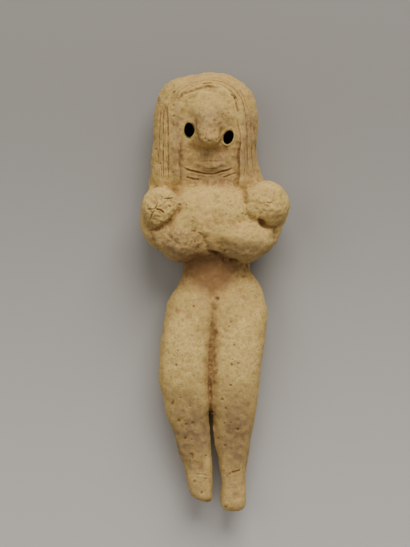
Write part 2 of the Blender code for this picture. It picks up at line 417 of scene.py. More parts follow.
def cut(clay: bpy.types.Object, tool: bpy.types.Object) -> None:
    """Takes a tool's space out of the clay, and the tool away.

    Args:
        clay: The clay that is cut.
        tool: The closed cutter.
    """
    boolean = clay.modifiers.new("cut", "BOOLEAN")
    boolean.operation = "DIFFERENCE"
    boolean.solver = "EXACT"
    boolean.object = tool
    apply_modifiers(clay)
    bpy.data.objects.remove(tool)


class Grain:
    """Smooth random values in space, which stay the same from run to run."""

    turn_angles: tuple[float, float, float] = (0.5, 0.7, 0.9)
    layer_gap: float = 7.31
    finer: tuple[tuple[float, float], ...] = ((0.47, 0.5), (0.22, 0.25))

    def __init__(self, seed: int, cells: int = 32) -> None:
        """Draws the values.

        Args:
            seed: What they are drawn from.
            cells: How many cells go by before the values repeat.
        """
        self.cells = cells
        self.lattice = np.random.default_rng(seed).uniform(-1.0, 1.0, (cells, cells, cells))
        self.turn = np.array(Euler(self.turn_angles).to_matrix())

    def at(self, places: np.ndarray, size: float, layer: float = 0.0) -> np.ndarray:
        """The values at some places.

        Args:
            places: The places, a row each.
            size: How wide one cell is.
            layer: Picks an independent set of values.

        Returns:
            One value between -1 and 1 for each place.
        """
        spots = places @ self.turn / size + layer * self.layer_gap
        base = np.floor(spots).astype(int)
        t = spots - base
        t = t * t * (3.0 - 2.0 * t)
        total = np.zeros(len(places))
        for corner in range(8):
            step = np.array([corner & 1, (corner >> 1) & 1, (corner >> 2) & 1])
            weight = np.where(step, t, 1.0 - t).prod(axis=1)
            x, y, z = ((base + step) % self.cells).T
            total += weight * self.lattice[x, y, z]
        return total

    def rough(self, places: np.ndarray, size: float, layer: float = 0.0) -> np.ndarray:
        """The values at some places with two finer sizes worked in.

        Args:
            places: The places, a row each.
            size: How wide one cell of the largest size is.
            layer: Picks an independent set of values.

        Returns:
            One value for each place, mostly between -1 and 1.
        """
        total = self.at(places, size, layer)
        for k, (share, strength) in enumerate(self.finer, 1):
            total = total + strength * self.at(places, size * share, layer + k)
        return total


GRAIN = Grain(SEED)


class Skin:
    """The clay's skin while it is worked: where each point is and which way it faces."""

    def __init__(self, clay: bpy.types.Object) -> None:
        """Reads a piece of clay.

        Args:
            clay: The clay, in clay millimetres.
        """
        self.mesh = clay.data
        self.count = len(self.mesh.vertices)
        self.places = np.empty((self.count, 3))
        self.outward = np.empty((self.count, 3))
        self.read()

    def read(self) -> None:
        """Takes places and outward directions from the mesh."""
        for name, rows in (("co", self.places), ("normal", self.outward)):
            flat = np.empty(self.count * 3)
            self.mesh.vertices.foreach_get(name, flat)
            rows[:] = flat.reshape(-1, 3)

    def write(self) -> None:
        """Gives the places back to the mesh, and reads the new directions."""
        self.mesh.vertices.foreach_set("co", self.places.ravel())
        self.mesh.update()
        self.read()

    def move_out(self, height: np.ndarray) -> None:
        """Moves each point outward, or inward where the height is negative.

        Args:
            height: How far each point moves.
        """
        self.places += self.outward * height[:, None]
        self.write()

    def tree(self) -> KDTree:
        """A search tree of the points."""
        tree = KDTree(self.count)
        for index, place in enumerate(self.places.tolist()):
            tree.insert(place, index)
        tree.balance()
        return tree

    def blurred(self, values: np.ndarray, passes: int) -> np.ndarray:
        """Values spread out over neighbouring points.

        Args:
            values: A row or a number for each point.
            passes: How many times each point takes its neighbours' mean.

        Returns:
            The spread values, in the same form.
        """
        ends = np.empty(len(self.mesh.edges) * 2, int)
        self.mesh.edges.foreach_get("vertices", ends)
        near, far = ends.reshape(-1, 2).T
        neighbours = np.bincount(ends, minlength=self.count)
        columns = values.reshape(self.count, -1).T.copy()
        for _ in range(passes):
            for k, column in enumerate(columns):
                total = np.bincount(near, weights=column[far], minlength=self.count)
                total += np.bincount(far, weights=column[near], minlength=self.count)
                columns[k] = total / neighbours
        return columns.T.reshape(values.shape)

    def hollowness(self, passes: int) -> np.ndarray:
        """How far each point lies below its surroundings, which is negative on ridges.

        Args:
            passes: How far the surroundings reach.

        Returns:
            One depth for each point.
        """
        around = self.blurred(self.places, passes)
        return ((around - self.places) * self.outward).sum(axis=1)


@dataclass
class Touch:
    """What a tool does to the points that it reaches, and the stains, painted shade and painted
    highlights that it leaves there.
    """

    points: np.ndarray
    height: np.ndarray
    earth_and_shade: np.ndarray
    pale: np.ndarray
    smoke_and_shade: np.ndarray


@dataclass(frozen=True)
class Stroke:
    """A line drawn in the clay with a point, or a crack: a groove with a soft burr on each side.

    The path is in across and along, and it works on what lies further out than its floor.
    The line thins out over a share of its length, the taper, and varies as much as it is ragged.
    The burr's place and width, and the width of the earth and painted shade that it leaves, are in half
    widths of the line.
    """

    reach_widths: ClassVar[float] = 5
    reach_more: ClassVar[float] = 0.3
    wander: ClassVar[float] = 0.35
    wander_size: ClassVar[float] = 0.7
    force_size: ClassVar[float] = 1.3
    force_span: ClassVar[tuple[float, float]] = (0.1, 1.8)
    end_soft: ClassVar[float] = 0.02
    burr_place: ClassVar[float] = 1.9
    burr_width: ClassVar[float] = 0.8
    tint_width: ClassVar[float] = 1.35

    path: tuple[tuple[float, float], ...]
    half_width: float = 0.25
    depth: float = 0.25
    burr: float = 0.15
    taper: float = 0.2
    ragged: float = 0.5
    earth_and_shade: float = 0.7
    step: float = 0.4
    floor: float = 7.0

    def track(self) -> np.ndarray:
        """The smooth line through the path's points."""
        table = np.array(self.path)
        gaps = np.linalg.norm(np.diff(table, axis=0), axis=1)
        reach = np.concatenate([[0], np.cumsum(gaps)])
        return smooth_track(np.column_stack([reach, table]), self.step)[:, 1:]

    def touch(self, places: np.ndarray) -> Touch:
        """What the stroke does.

        Args:
            places: The skin's points.

        Returns:
            The points that it reaches, and its effect on each.
        """
        track = self.track()
        margin = self.half_width * self.reach_widths + self.reach_more
        inside = (places[:, :2] > track.min(axis=0) - margin).all(axis=1)
        inside &= (places[:, :2] < track.max(axis=0) + margin).all(axis=1)
        inside &= places[:, 2] > self.floor
        points = np.nonzero(inside)[0]
        near = places[points]
        wander = self.wander * self.ragged * self.half_width
        layers = (Layer.LINE_ACROSS, Layer.LINE_ALONG)
        drift = np.stack([GRAIN.at(near, self.wander_size, layer) for layer in layers], axis=1)
        spots = near[:, :2] + wander * drift
        away = np.full(len(points), np.inf)
        share = np.zeros(len(points))
        for k, (start, end) in enumerate(zip(track, track[1:])):
            span = end - start
            t = np.clip((spots - start) @ span / (span @ span), 0.0, 1.0)
            gap = np.linalg.norm(spots - start - t[:, None] * span, axis=1)
            closer = gap < away
            away = np.where(closer, gap, away)
            share = np.where(closer, (k + t) / (len(track) - 1), share)
        ends = fade(share, -self.end_soft, self.taper)
        ends = ends * fade(share, 1.0 + self.end_soft, 1.0 - self.taper)
        uneven = GRAIN.rough(near, self.force_size, Layer.LINE_FORCE)
        force = ends * np.clip(1.0 + self.ragged * uneven, *self.force_span)
        groove = np.exp(-((away / self.half_width) ** 2))
        beside = away - self.burr_place * self.half_width
        lip = np.exp(-((beside / (self.burr_width * self.half_width)) ** 2))
        height = self.depth * force * (self.burr * lip - groove)
        dirt_and_shade = self.earth_and_shade * force * np.exp(-((away / (self.tint_width * self.half_width)) ** 2))
        clean = self.burr * force * lip
        return Touch(points, height, dirt_and_shade, clean, np.zeros(len(points)))


@dataclass(frozen=True)
class Dab:
    """A touch of a finger, a tool or the ground: a lump, a dent, a pit, a rough patch, a stain, or
    painted shade and highlights.

    It is an oval that works on what lies further out than its floor. A negative height is a dent,
    and a greater edge gives steeper sides.
    """

    reach_sizes: ClassVar[float] = 2.6
    ragged_share: ClassVar[float] = 0.5
    ragged_least: ClassVar[float] = 0.25

    across: float
    along: float
    half_width: float
    half_height: float
    height: float = 0.0
    lean: float = 0.0
    edge: float = 2.0
    rough: float = 0.0
    rough_size: float = 0.9
    earth_and_shade: float = 0.0
    pale: float = 0.0
    smoke_and_shade: float = 0.0
    ragged: float = 0.25
    floor: float = 7.0

    def touch(self, places: np.ndarray) -> Touch:
        """What the touch does.

        Args:
            places: The skin's points.

        Returns:
            The points that it reaches, and its effect on each.
        """
        reach = self.reach_sizes * max(self.half_width, self.half_height)
        inside = np.abs(places[:, 0] - self.across) < reach
        inside &= np.abs(places[:, 1] - self.along) < reach
        inside &= places[:, 2] > self.floor
        points = np.nonzero(inside)[0]
        near = places[points]
        lean = math.radians(self.lean)
        x = near[:, 0] - self.across
        y = near[:, 1] - self.along
        u = (x * math.cos(lean) - y * math.sin(lean)) / self.half_width
        v = (x * math.sin(lean) + y * math.cos(lean)) / self.half_height
        ragged_size = self.ragged_share * min(self.half_width, self.half_height) + self.ragged_least
        away = np.hypot(u, v) * (1.0 + self.ragged * GRAIN.rough(near, ragged_size, Layer.EDGE))
        share = np.exp(-(np.abs(away) ** self.edge))
        height = share * self.height
        if self.rough:
            grain = GRAIN.rough(near, self.rough_size, Layer.ROUGH_PLACE)
            height = height + share * self.rough * grain
        return Touch(points, height, share * self.earth_and_shade, share * self.pale, share * self.smoke_and_shade)


def pits(spots: tuple[tuple[float, float, float], ...], earth_and_shade: float = 0.5) -> list[Dab]:
    """Small deep pits where straw or grit came out.

    Args:
        spots: Each pit's across, along and radius.
        earth_and_shade: How much earth they hold.

    Returns:
        The pits.
    """
    return [
        Dab(
            across, along, radius, radius, height=-PIT_DEPTH * radius, edge=PIT_EDGE, earth_and_shade=earth_and_shade,
            ragged=PIT_RAGGED,
        )
        for across, along, radius in spots
    ]


@dataclass
class Pitting:
    """Fine pits scattered over the whole skin, front and back, and more of them small than large."""

    count: int = 300
    radii: tuple[float, float] = (0.11, 0.27)
    mostly_small: int = 3
    reach_radii: float = 2.4
    edge: float = 2.5
    depth_share: float = 0.75
    earth_and_shade: float = 0.35
    seed: int = SEED + 1
    centres: list[tuple[Vector, float]] = field(default_factory=list)

    def scatter(self, skin: Skin) -> None:
        """Chooses the pits' places on the skin.

        Args:
            skin: The worked skin.
        """
        draw = np.random.default_rng(self.seed)
        low = skin.places.min(axis=0)
        high = skin.places.max(axis=0)
        tree = skin.tree()
        small, large = self.radii
        for _ in range(self.count):
            place = tree.find(Vector(draw.uniform(low, high)))[0]
            radius = small + (large - small) * draw.uniform() ** self.mostly_small
            self.centres.append((place, radius))

    def press(self, skin: Skin) -> tuple[np.ndarray, np.ndarray]:
        """How deep the pits go, and how much earth they hold.

        Args:
            skin: The skin, whose points may be others than those of the scattering.

        Returns:
            A height and an amount of earth for each point.
        """
        tree = skin.tree()
        height = np.zeros(skin.count)
        earth_and_shade = np.zeros(skin.count)
        for place, radius in self.centres:
            for _, index, gap in tree.find_range(place, self.reach_radii * radius):
                share = math.exp(-((gap / radius) ** self.edge))
                height[index] = min(height[index], -self.depth_share * radius * share)
                earth_and_shade[index] = max(earth_and_shade[index], self.earth_and_shade * share)
        return height, earth_and_shade


@dataclass
class Trunk:
    """The body from the feet to the neck: torso and legs, rolled and pressed together."""

    torso: RolledForm = field(
        default_factory=lambda: RolledForm(
            "torso",
            [
                Station(27.0, -4.0, 4.0, 5.8, 7.6),
                Station(33.0, -8.4, 7.6, 4.2, 9.8),
                Station(40.0, -12.0, 11.4, 1.8, 12.3),
                Station(48.0, -13.3, 13.6, 0.5, 14.3),
                Station(54.0, -12.7, 15.2, 0.1, 15.2),
                Station(59.0, -11.4, 14.1, 0.8, 14.8),
                Station(63.0, -9.2, 12.8, 2.0, 13.6),
                Station(67.0, -8.1, 10.4, 2.9, 12.6),
                Station(71.0, -9.0, 10.8, 3.1, 12.8),
                Station(76.0, -13.0, 13.4, 2.4, 14.0),
                Station(82.0, -15.6, 15.8, 1.4, 14.4),
                Station(87.0, -15.4, 16.0, 0.9, 13.4),
                Station(91.0, -13.0, 10.8, 0.8, 12.0),
                Station(95.0, -9.0, 6.0, 1.5, 10.5),
            ],
        )
    )
    left_leg: RolledForm = field(
        default_factory=lambda: RolledForm(
            "left_leg",
            [
                Station(3.4, -6.0, 0.3, 3.9, 10.1),
                Station(6.5, -6.8, 0.4, 3.6, 9.9),
                Station(10.5, -7.2, 0.2, 3.7, 9.6),
                Station(15.5, -8.8, 0.0, 3.4, 10.3),
                Station(22.0, -10.4, -0.35, 2.9, 11.5),
                Station(26.0, -12.1, -0.35, 2.5, 12.4),
                Station(30.0, -12.8, 0.9, 2.0, 13.3),
                Station(36.0, -14.2, 0.6, 1.3, 14.4),
                Station(42.0, -14.1, 0.6, 0.7, 15.0),
                Station(48.0, -13.4, 0.9, 0.5, 15.0),
                Station(54.0, -11.8, 0.6, 1.2, 14.3),
                Station(58.0, -10.0, -0.5, 2.6, 12.8),
            ],
            squareness=0.25, foot_round=0.9, head_round=1.5, foot_slant=-0.34,
        )
    )
    right_leg: RolledForm = field(
        default_factory=lambda: RolledForm(
            "right_leg",
            [
                Station(1.1, 2.0, 9.1, 3.9, 10.6),
                Station(3.6, 1.7, 9.4, 3.5, 10.8),
                Station(7.0, 2.2, 9.2, 3.7, 9.9),
                Station(10.5, 2.0, 9.2, 3.7, 9.7),
                Station(15.5, 1.15, 9.8, 3.4, 10.3),
                Station(22.0, 0.2, 10.6, 2.9, 11.5),
                Station(26.0, 0.15, 11.4, 2.5, 12.4),
                Station(30.0, -1.2, 11.9, 2.0, 13.3),
                Station(36.0, -1.8, 12.7, 1.3, 14.4),
                Station(42.0, -1.7, 13.4, 0.7, 15.0),
                Station(48.0, -0.9, 14.2, 0.5, 15.0),
                Station(54.0, 0.0, 14.5, 1.2, 14.3),
                Station(58.0, 1.5, 12.4, 2.6, 12.8),
            ],
            squareness=0.25, foot_round=1.1, head_round=1.5,
        )
    )
    chest: Pellet = field(
        default_factory=lambda: Pellet("chest", (-0.4, 79.3, 10.8), (13.2, 10.4, 8.2), 0.35)
    )

    gap: Punch = field(
        default_factory=lambda: Punch(
            "leg_gap",
            [
                (-0.5, 27.6), (-0.2, 27.6), (-0.1, 24.8), (0.1, 22.4), (0.6, 18.5), (1.2, 15.5),
                (2.1, 11.0), (0.0, 11.0), (-0.2, 14.0), (-0.35, 18.0), (-0.5, 22.4), (-0.55, 25.0),
            ],
            floor=-2.0,
        )
    )

    def lumps(self) -> list[bpy.types.Object]:
        """The lumps that make the trunk."""
        return [form.build() for form in (self.torso, self.left_leg, self.right_leg, self.chest)]

    def belly_marks(self) -> list[Stroke | Dab]:
        """The navel, the line between the thighs and what time left on the belly."""
        groove = (
            (1.2, 58.0), (0.4, 52.9), (0.0, 46.9), (-0.4, 41.5),
            (-0.4, 36.0), (-0.4, 30.5), (-0.3, 25.0), (-0.2, 21.0),
        )
        crack = (
            (0.1, 56.5), (-0.3, 51.0), (-0.6, 45.3),
            (-0.7, 40.2), (-0.8, 38.2), (-0.4, 32.2), (-0.3, 27.6),
        )
        slit = ((-0.7, 37.0), (-0.6, 33.0), (-0.45, 29.5), (-0.35, 26.5), (-0.3, 23.5))
        return [
            Stroke(groove, half_width=1.3, depth=0.5, burr=0.1, taper=0.25, ragged=0.15, earth_and_shade=0.34),
            Stroke(crack, half_width=0.3, depth=0.13, burr=0.2, taper=0.2, ragged=0.6, earth_and_shade=0.18),
            Stroke(slit, half_width=0.34, depth=0.4, burr=0.1, taper=0.12, ragged=0.3, earth_and_shade=0.7),
            Stroke(((-5.7, 48.1), (-6.3, 45.3)), half_width=0.2, depth=0.12, ragged=0.4, earth_and_shade=0.0),
            Dab(1.3, 58.6, 0.55, 0.45, height=-0.5, edge=2.6, earth_and_shade=0.9),
            Dab(0.3, 56.6, 0.9, 1.2, height=-0.12, earth_and_shade=0.45),
            Dab(-6.0, 46.7, 0.25, 1.5, lean=12.0, pale=0.9),
            Dab(-2.2, 42.0, 0.5, 0.8, earth_and_shade=0.45),
            Dab(0.4, 43.0, 0.5, 0.9, earth_and_shade=0.5),
            Dab(-0.6, 45.3, 0.3, 0.4, height=-0.2, earth_and_shade=0.5),
            Dab(-0.5, 40.3, 0.4, 0.35, height=-0.2, lean=40.0, earth_and_shade=0.5),
            Dab(-0.7, 38.8, 0.35, 0.45, height=-0.25, earth_and_shade=0.6),
            Dab(1.1, 38.7, 0.4, 0.5, earth_and_shade=0.6),
        ]

    def leg_marks(self) -> list[Stroke | Dab]:
        """Creases at the ankles, and small ridges, dents and earth from the feet to the hips."""
        return [
            Stroke(((-4.8, 10.5), (-2.7, 10.4), (-0.4, 9.9)), half_width=0.25, depth=0.12, earth_and_shade=0.25),
            Stroke(((-4.6, 9.6), (-2.7, 9.4), (-0.7, 9.1)), half_width=0.2, depth=0.08, earth_and_shade=0.2),
            Stroke(
                ((3.4, 10.1), (4.9, 10.8), (7.4, 11.5)), half_width=0.3, depth=0.2, ragged=1.0, earth_and_shade=0.5,
            ),
            Stroke(
                ((7.5, 9.3), (7.4, 7.1), (6.8, 5.0)), half_width=0.35, depth=-0.12, burr=0.0, earth_and_shade=0.0,
            ),
            Dab(6.1, 4.6, 1.0, 1.0, height=-0.35, edge=3.0, pale=0.2),
            Dab(-10.5, 30.2, 0.28, 0.6, height=-0.3, lean=25.0, earth_and_shade=0.8),
            Dab(-2.9, 12.5, 0.7, 1.2, height=-0.12, earth_and_shade=0.4, smoke_and_shade=0.4),
            Dab(-5.4, 15.6, 0.5, 0.75, height=-0.4, lean=-20.0, edge=2.6, earth_and_shade=1.0),
            Dab(-9.1, 54.9, 0.8, 0.9, height=-0.1, earth_and_shade=0.4),
            Dab(8.3, 64.7, 0.6, 0.4, height=-0.3, earth_and_shade=0.9),
        ]

    def pit_marks(self) -> list[Dab]:
        """The pits that can be told apart."""
        thighs = (
            (-2.2, 47.9, 0.16), (-9.1, 44.6, 0.22), (-7.8, 42.2, 0.16), (-9.5, 40.6, 0.28),
            (-9.9, 47.9, 0.16), (5.7, 46.0, 0.3), (5.3, 42.2, 0.21), (5.1, 40.7, 0.37),
            (6.7, 41.1, 0.22), (6.5, 40.0, 0.19), (4.8, 35.1, 0.31), (8.2, 38.7, 0.18),
            (2.6, 31.2, 0.37), (5.1, 43.9, 0.18), (2.8, 48.1, 0.15), (-2.9, 35.7, 0.18),
            (-8.5, 31.7, 0.18), (-4.9, 56.5, 0.26), (0.2, 52.6, 0.18),
        )
        shins = (
            (-5.9, 29.4, 0.22), (3.5, 28.7, 0.3), (-8.9, 25.3, 0.44), (-6.8, 24.3, 0.3),
            (-5.2, 24.8, 0.3), (-2.7, 25.8, 0.22), (4.9, 24.8, 0.26), (6.7, 22.9, 0.41),
            (-7.2, 20.4, 0.33), (-5.5, 20.2, 0.22), (-1.6, 15.5, 0.22), (3.4, 18.4, 0.37),
            (1.6, 20.4, 0.22), (3.1, 24.7, 0.26), (-4.7, 8.5, 0.27), (-2.8, 5.5, 0.27),
            (4.6, 10.6, 0.25), (5.3, 11.1, 0.19), (7.1, 11.5, 0.22), (3.5, 1.5, 0.3),
        )
        return pits(thighs, 0.45) + pits(shins, 0.55)

    def stains_and_painted_light(self) -> list[Dab]:
        """Earth with painted shade at the waist, earth between the thighs, and painted highlights and
        grey with painted shade on the legs.
        """
        return [
            # Earth at the waist, darkened further as painted shade where the arms overhang it.
            Dab(0.2, 67.4, 11.0, 3.6, edge=2.6, earth_and_shade=0.65, ragged=0.15),
            Dab(-2.2, 65.8, 8.0, 4.6, edge=2.6, earth_and_shade=0.5, smoke_and_shade=0.9, ragged=0.12),
            Dab(0.6, 66.0, 4.4, 4.4, edge=2.6, earth_and_shade=0.65, smoke_and_shade=1.1, ragged=0.12),
            Dab(0.3, 60.5, 2.0, 4.5, earth_and_shade=0.25, ragged=0.2),
            Dab(0.3, 61.4, 8.5, 3.6, edge=2.2, earth_and_shade=0.22, ragged=0.2),
            Dab(0.0, 47.0, 3.2, 11.0, edge=2.0, earth_and_shade=0.12, ragged=0.3),
            Dab(-0.5, 37.5, 1.3, 8.0, earth_and_shade=0.34, ragged=0.2),
            Dab(0.1, 53.0, 0.9, 8.0, earth_and_shade=0.35, ragged=0.4),
            # Grey patches on the shins: partly the clay's own grey, partly painted shade where the legs
            # slope away from the light.
            Dab(6.0, 20.5, 5.5, 10.5, edge=3.0, earth_and_shade=0.14, smoke_and_shade=1.0, ragged=0.2),
            Dab(-6.0, 20.5, 6.0, 10.0, edge=3.0, earth_and_shade=0.1, smoke_and_shade=1.0, ragged=0.2),
            # Painted shade on the feet.
            Dab(-3.2, 6.4, 3.6, 3.8, edge=3.0, smoke_and_shade=0.5, ragged=0.2),
            Dab(5.6, 5.0, 4.2, 5.8, edge=3.0, smoke_and_shade=0.5, ragged=0.3),
            # Painted shadow along the end of the left foot.
            Dab(-1.2, 3.2, 1.3, 1.0, earth_and_shade=0.7, lean=60.0),
            # Painted highlights on the thighs' fronts, each followed by painted shade on the knee below
            # it.
            Dab(-6.8, 44.5, 5.5, 10.0, edge=3.0, pale=1.0, ragged=0.2),
            Dab(-6.8, 31.0, 5.0, 3.6, edge=3.0, smoke_and_shade=0.3, ragged=0.3),
            Dab(6.3, 44.5, 5.5, 10.0, edge=3.0, pale=1.0, ragged=0.2),
            Dab(6.3, 31.5, 5.0, 3.6, edge=3.0, smoke_and_shade=0.3, ragged=0.3),
        ]

    def marks(self) -> list[Stroke | Dab]:
        """Everything that was done to the trunk after it was joined."""
        return self.belly_marks() + self.leg_marks() + self.pit_marks() + self.stains_and_painted_light()


@dataclass
class Arms:
    """Two coils that fold below the breasts and meet in the middle."""

    left: Coil = field(
        default_factory=lambda: Coil(
            "left_arm",
            [
                Bead(-13.9, 87.4, 8.4, 3.1),
                Bead(-15.4, 83.5, 9.2, 3.5),
                Bead(-15.9, 79.2, 10.0, 3.6),
                Bead(-14.6, 76.9, 11.4, 4.1),
                Bead(-11.4, 75.7, 12.6, 5.0),
                Bead(-8.8, 75.0, 12.8, 6.6),
                Bead(-5.0, 76.0, 12.8, 5.8),
                Bead(-1.6, 77.6, 12.6, 4.8),
            ],
        )
    )
    right: Coil = field(
        default_factory=lambda: Coil(
            "right_arm",
            [
                Bead(14.2, 87.4, 8.4, 3.2),
                Bead(16.6, 84.0, 9.4, 3.8),
                Bead(14.9, 79.5, 10.0, 3.7),
                Bead(13.7, 76.8, 11.4, 4.2),
                Bead(11.8, 75.5, 12.6, 5.3),
                Bead(9.0, 74.8, 13.0, 6.5),
                Bead(5.6, 75.0, 13.2, 6.2),
                Bead(1.8, 77.0, 13.0, 4.8),
            ],
        )
    )

    def lumps(self) -> list[bpy.types.Object]:
        """The two coils."""
        return [self.left.build(), self.right.build()]

    def marks(self) -> list[Stroke | Dab]:
        """Creases beside the breasts, hollows below the arms, the rough place on the left and painted
        shade below the arms.
        """
        hollow = ((-1.4, 70.9), (0.3, 70.6), (1.8, 70.1), (2.9, 69.1), (4.6, 68.6), (6.8, 68.6))
        return [
            Stroke(
                ((-16.6, 77.9), (-16.1, 75.8), (-15.2, 73.6)),
                half_width=0.6, depth=0.45, burr=0.0, ragged=0.4, earth_and_shade=0.3,
            ),
            # The wide band down the right arm's outer side holds earth and painted shade.
            Stroke(
                ((16.2, 78.6), (16.5, 76.6), (16.1, 74.2)),
                half_width=1.0, depth=0.35, burr=0.0, ragged=0.2, earth_and_shade=0.35,
            ),
            Stroke(
                ((-2.0, 76.0), (-1.6, 73.6), (-0.5, 71.5), (0.5, 70.5)),
                half_width=0.8, depth=0.4, burr=0.0, earth_and_shade=0.2,
            ),
            # The hollows below the arms hold earth, and are darkened further as painted shade.
            Stroke(hollow, half_width=0.55, depth=0.7, burr=0.0, ragged=0.8, earth_and_shade=1.0),
            Dab(0.6, 70.8, 1.6, 0.5, height=-1.5, edge=3.0, lean=15.0, earth_and_shade=1.0),
            Dab(5.6, 68.8, 1.2, 0.4, height=-1.3, edge=3.0, lean=8.0, earth_and_shade=1.0),
            # The rough place on the left forearm, greyed partly as painted shade.
            Dab(-8.0, 74.5, 6.5, 4.4, edge=3.0, rough=0.26, rough_size=1.1, earth_and_shade=0.15, smoke_and_shade=0.5),
            Dab(5.6, 75.6, 7.5, 1.7, height=0.3, lean=8.0),
            # Painted shade below the right forearm's ridge, on both forearms' undersides and down the
            # left arm's outer side.
            Dab(6.0, 72.8, 5.5, 1.4, height=-0.2, lean=6.0, smoke_and_shade=0.3),
            Dab(10.0, 71.5, 9.0, 3.0, edge=3.0, smoke_and_shade=0.65, lean=-8.0),
            Dab(-10.5, 71.5, 7.0, 3.6, edge=3.0, smoke_and_shade=0.55, lean=12.0),
            Dab(-17.2, 79.0, 2.4, 6.0, edge=3.0, smoke_and_shade=0.15),
            Dab(-10.7, 75.0, 0.35, 0.4, height=-0.25, earth_and_shade=0.55),
            Dab(-3.2, 76.1, 0.6, 0.3, height=-0.3, lean=30.0, earth_and_shade=0.7),
            *pits(
                (
                    (-4.6, 76.8, 0.26), (-4.6, 73.9, 0.22), (-14.3, 71.9, 0.22), (3.2, 71.5, 0.33),
                    (-10.1, 74.2, 0.18),
                )
            ),
        ]


@dataclass
class Breasts:
    """Two pellets pressed on at the shoulders."""

    left: Pellet = field(
        default_factory=lambda: Pellet("left_breast", (-13.7, 83.5, 14.4), (4.9, 5.4, 4.6), 0.6)
    )
    right: Pellet = field(
        default_factory=lambda: Pellet("right_breast", (14.1, 84.4, 13.5), (6.1, 6.4, 5.4), 0.3)
    )

    def lumps(self) -> list[bpy.types.Object]:
        """The two pellets."""
        return [self.left.build(), self.right.build()]

    def marks(self) -> list[Stroke | Dab]:
        """The cracks and dimples in the pellets and the creases round them, with painted shade below
        them.
        """
        left_rim = (
            (-8.5, 84.6), (-8.8, 82.6), (-10.0, 80.7), (-12.1, 78.8),
            (-14.9, 77.4), (-16.6, 77.9), (-17.9, 79.4),
        )
        right_rim = ((11.6, 80.6), (12.3, 79.6), (13.2, 78.5), (14.4, 77.8), (15.8, 77.6))
        return [
            # The creases below the breasts hold earth and painted shade.
            Stroke(left_rim, half_width=0.6, depth=0.5, burr=0.0, ragged=0.35, earth_and_shade=0.3),
            Stroke(right_rim, half_width=0.45, depth=0.5, burr=0.0, ragged=0.5, earth_and_shade=0.7),
            Stroke(
                ((-12.9, 85.4), (-11.5, 85.5), (-10.1, 85.8)),
                half_width=0.17, depth=0.25, burr=0.3, earth_and_shade=0.75,
            ),
            Stroke(
                ((-14.9, 82.6), (-13.7, 82.5), (-12.4, 81.5)),
                half_width=0.2, depth=0.32, burr=0.3, earth_and_shade=0.9,
            ),
            Stroke(
                ((-14.9, 82.6), (-15.7, 81.4), (-16.3, 79.7)),
                half_width=0.18, depth=0.25, ragged=1.0, earth_and_shade=0.5,
            ),
            Stroke(((-11.5, 83.6), (-10.7, 83.3)), half_width=0.17, depth=0.25, earth_and_shade=0.9),
            Stroke(
                ((-17.3, 82.7), (-14.9, 82.8), (-14.3, 84.7)),
                half_width=0.18, depth=0.22, ragged=1.0, earth_and_shade=0.4,
            ),
            Stroke(((-13.9, 87.0), (-13.4, 86.2), (-12.6, 85.4)), half_width=0.14, depth=0.15, earth_and_shade=0.5),
            Stroke(((13.9, 84.6), (14.9, 84.3), (15.6, 84.7)), half_width=0.18, depth=0.3, earth_and_shade=0.9),
            Dab(8.4, 84.0, 2.4, 5.0, height=0.9, lean=-12.0),
            Stroke(
                ((8.5, 87.8), (8.7, 85.8), (8.6, 83.8)), half_width=0.7, depth=0.3, burr=0.0, earth_and_shade=0.4,
            ),
            # The hollow below the right breast holds earth and painted shade, and painted shade lies on
            # its underside.
            Dab(12.9, 79.1, 1.2, 0.7, height=-0.9, lean=40.0, earth_and_shade=1.0),
            Dab(15.8, 80.4, 2.6, 1.2, edge=2.6, smoke_and_shade=0.3, earth_and_shade=0.1),
            Dab(-13.7, 83.4, 4.6, 4.8, edge=3.0, rough=0.36, rough_size=1.3, pale=0.25),
            Dab(14.6, 84.0, 6.0, 6.0, edge=3.0, rough=0.26, rough_size=1.7),
            Dab(15.2, 82.0, 2.4, 1.2, height=0.15, earth_and_shade=0.15),
            *pits(
                (
                    (-8.5, 84.0, 0.31), (-6.9, 83.9, 0.22), (-6.8, 82.9, 0.18), (4.7, 84.8, 0.18),
                    (3.9, 83.9, 0.16), (7.7, 81.4, 0.25), (8.6, 81.1, 0.19), (7.9, 87.1, 0.19),
                    (-14.7, 86.9, 0.18), (16.4, 86.2, 0.18),
                )
            ),
        ]


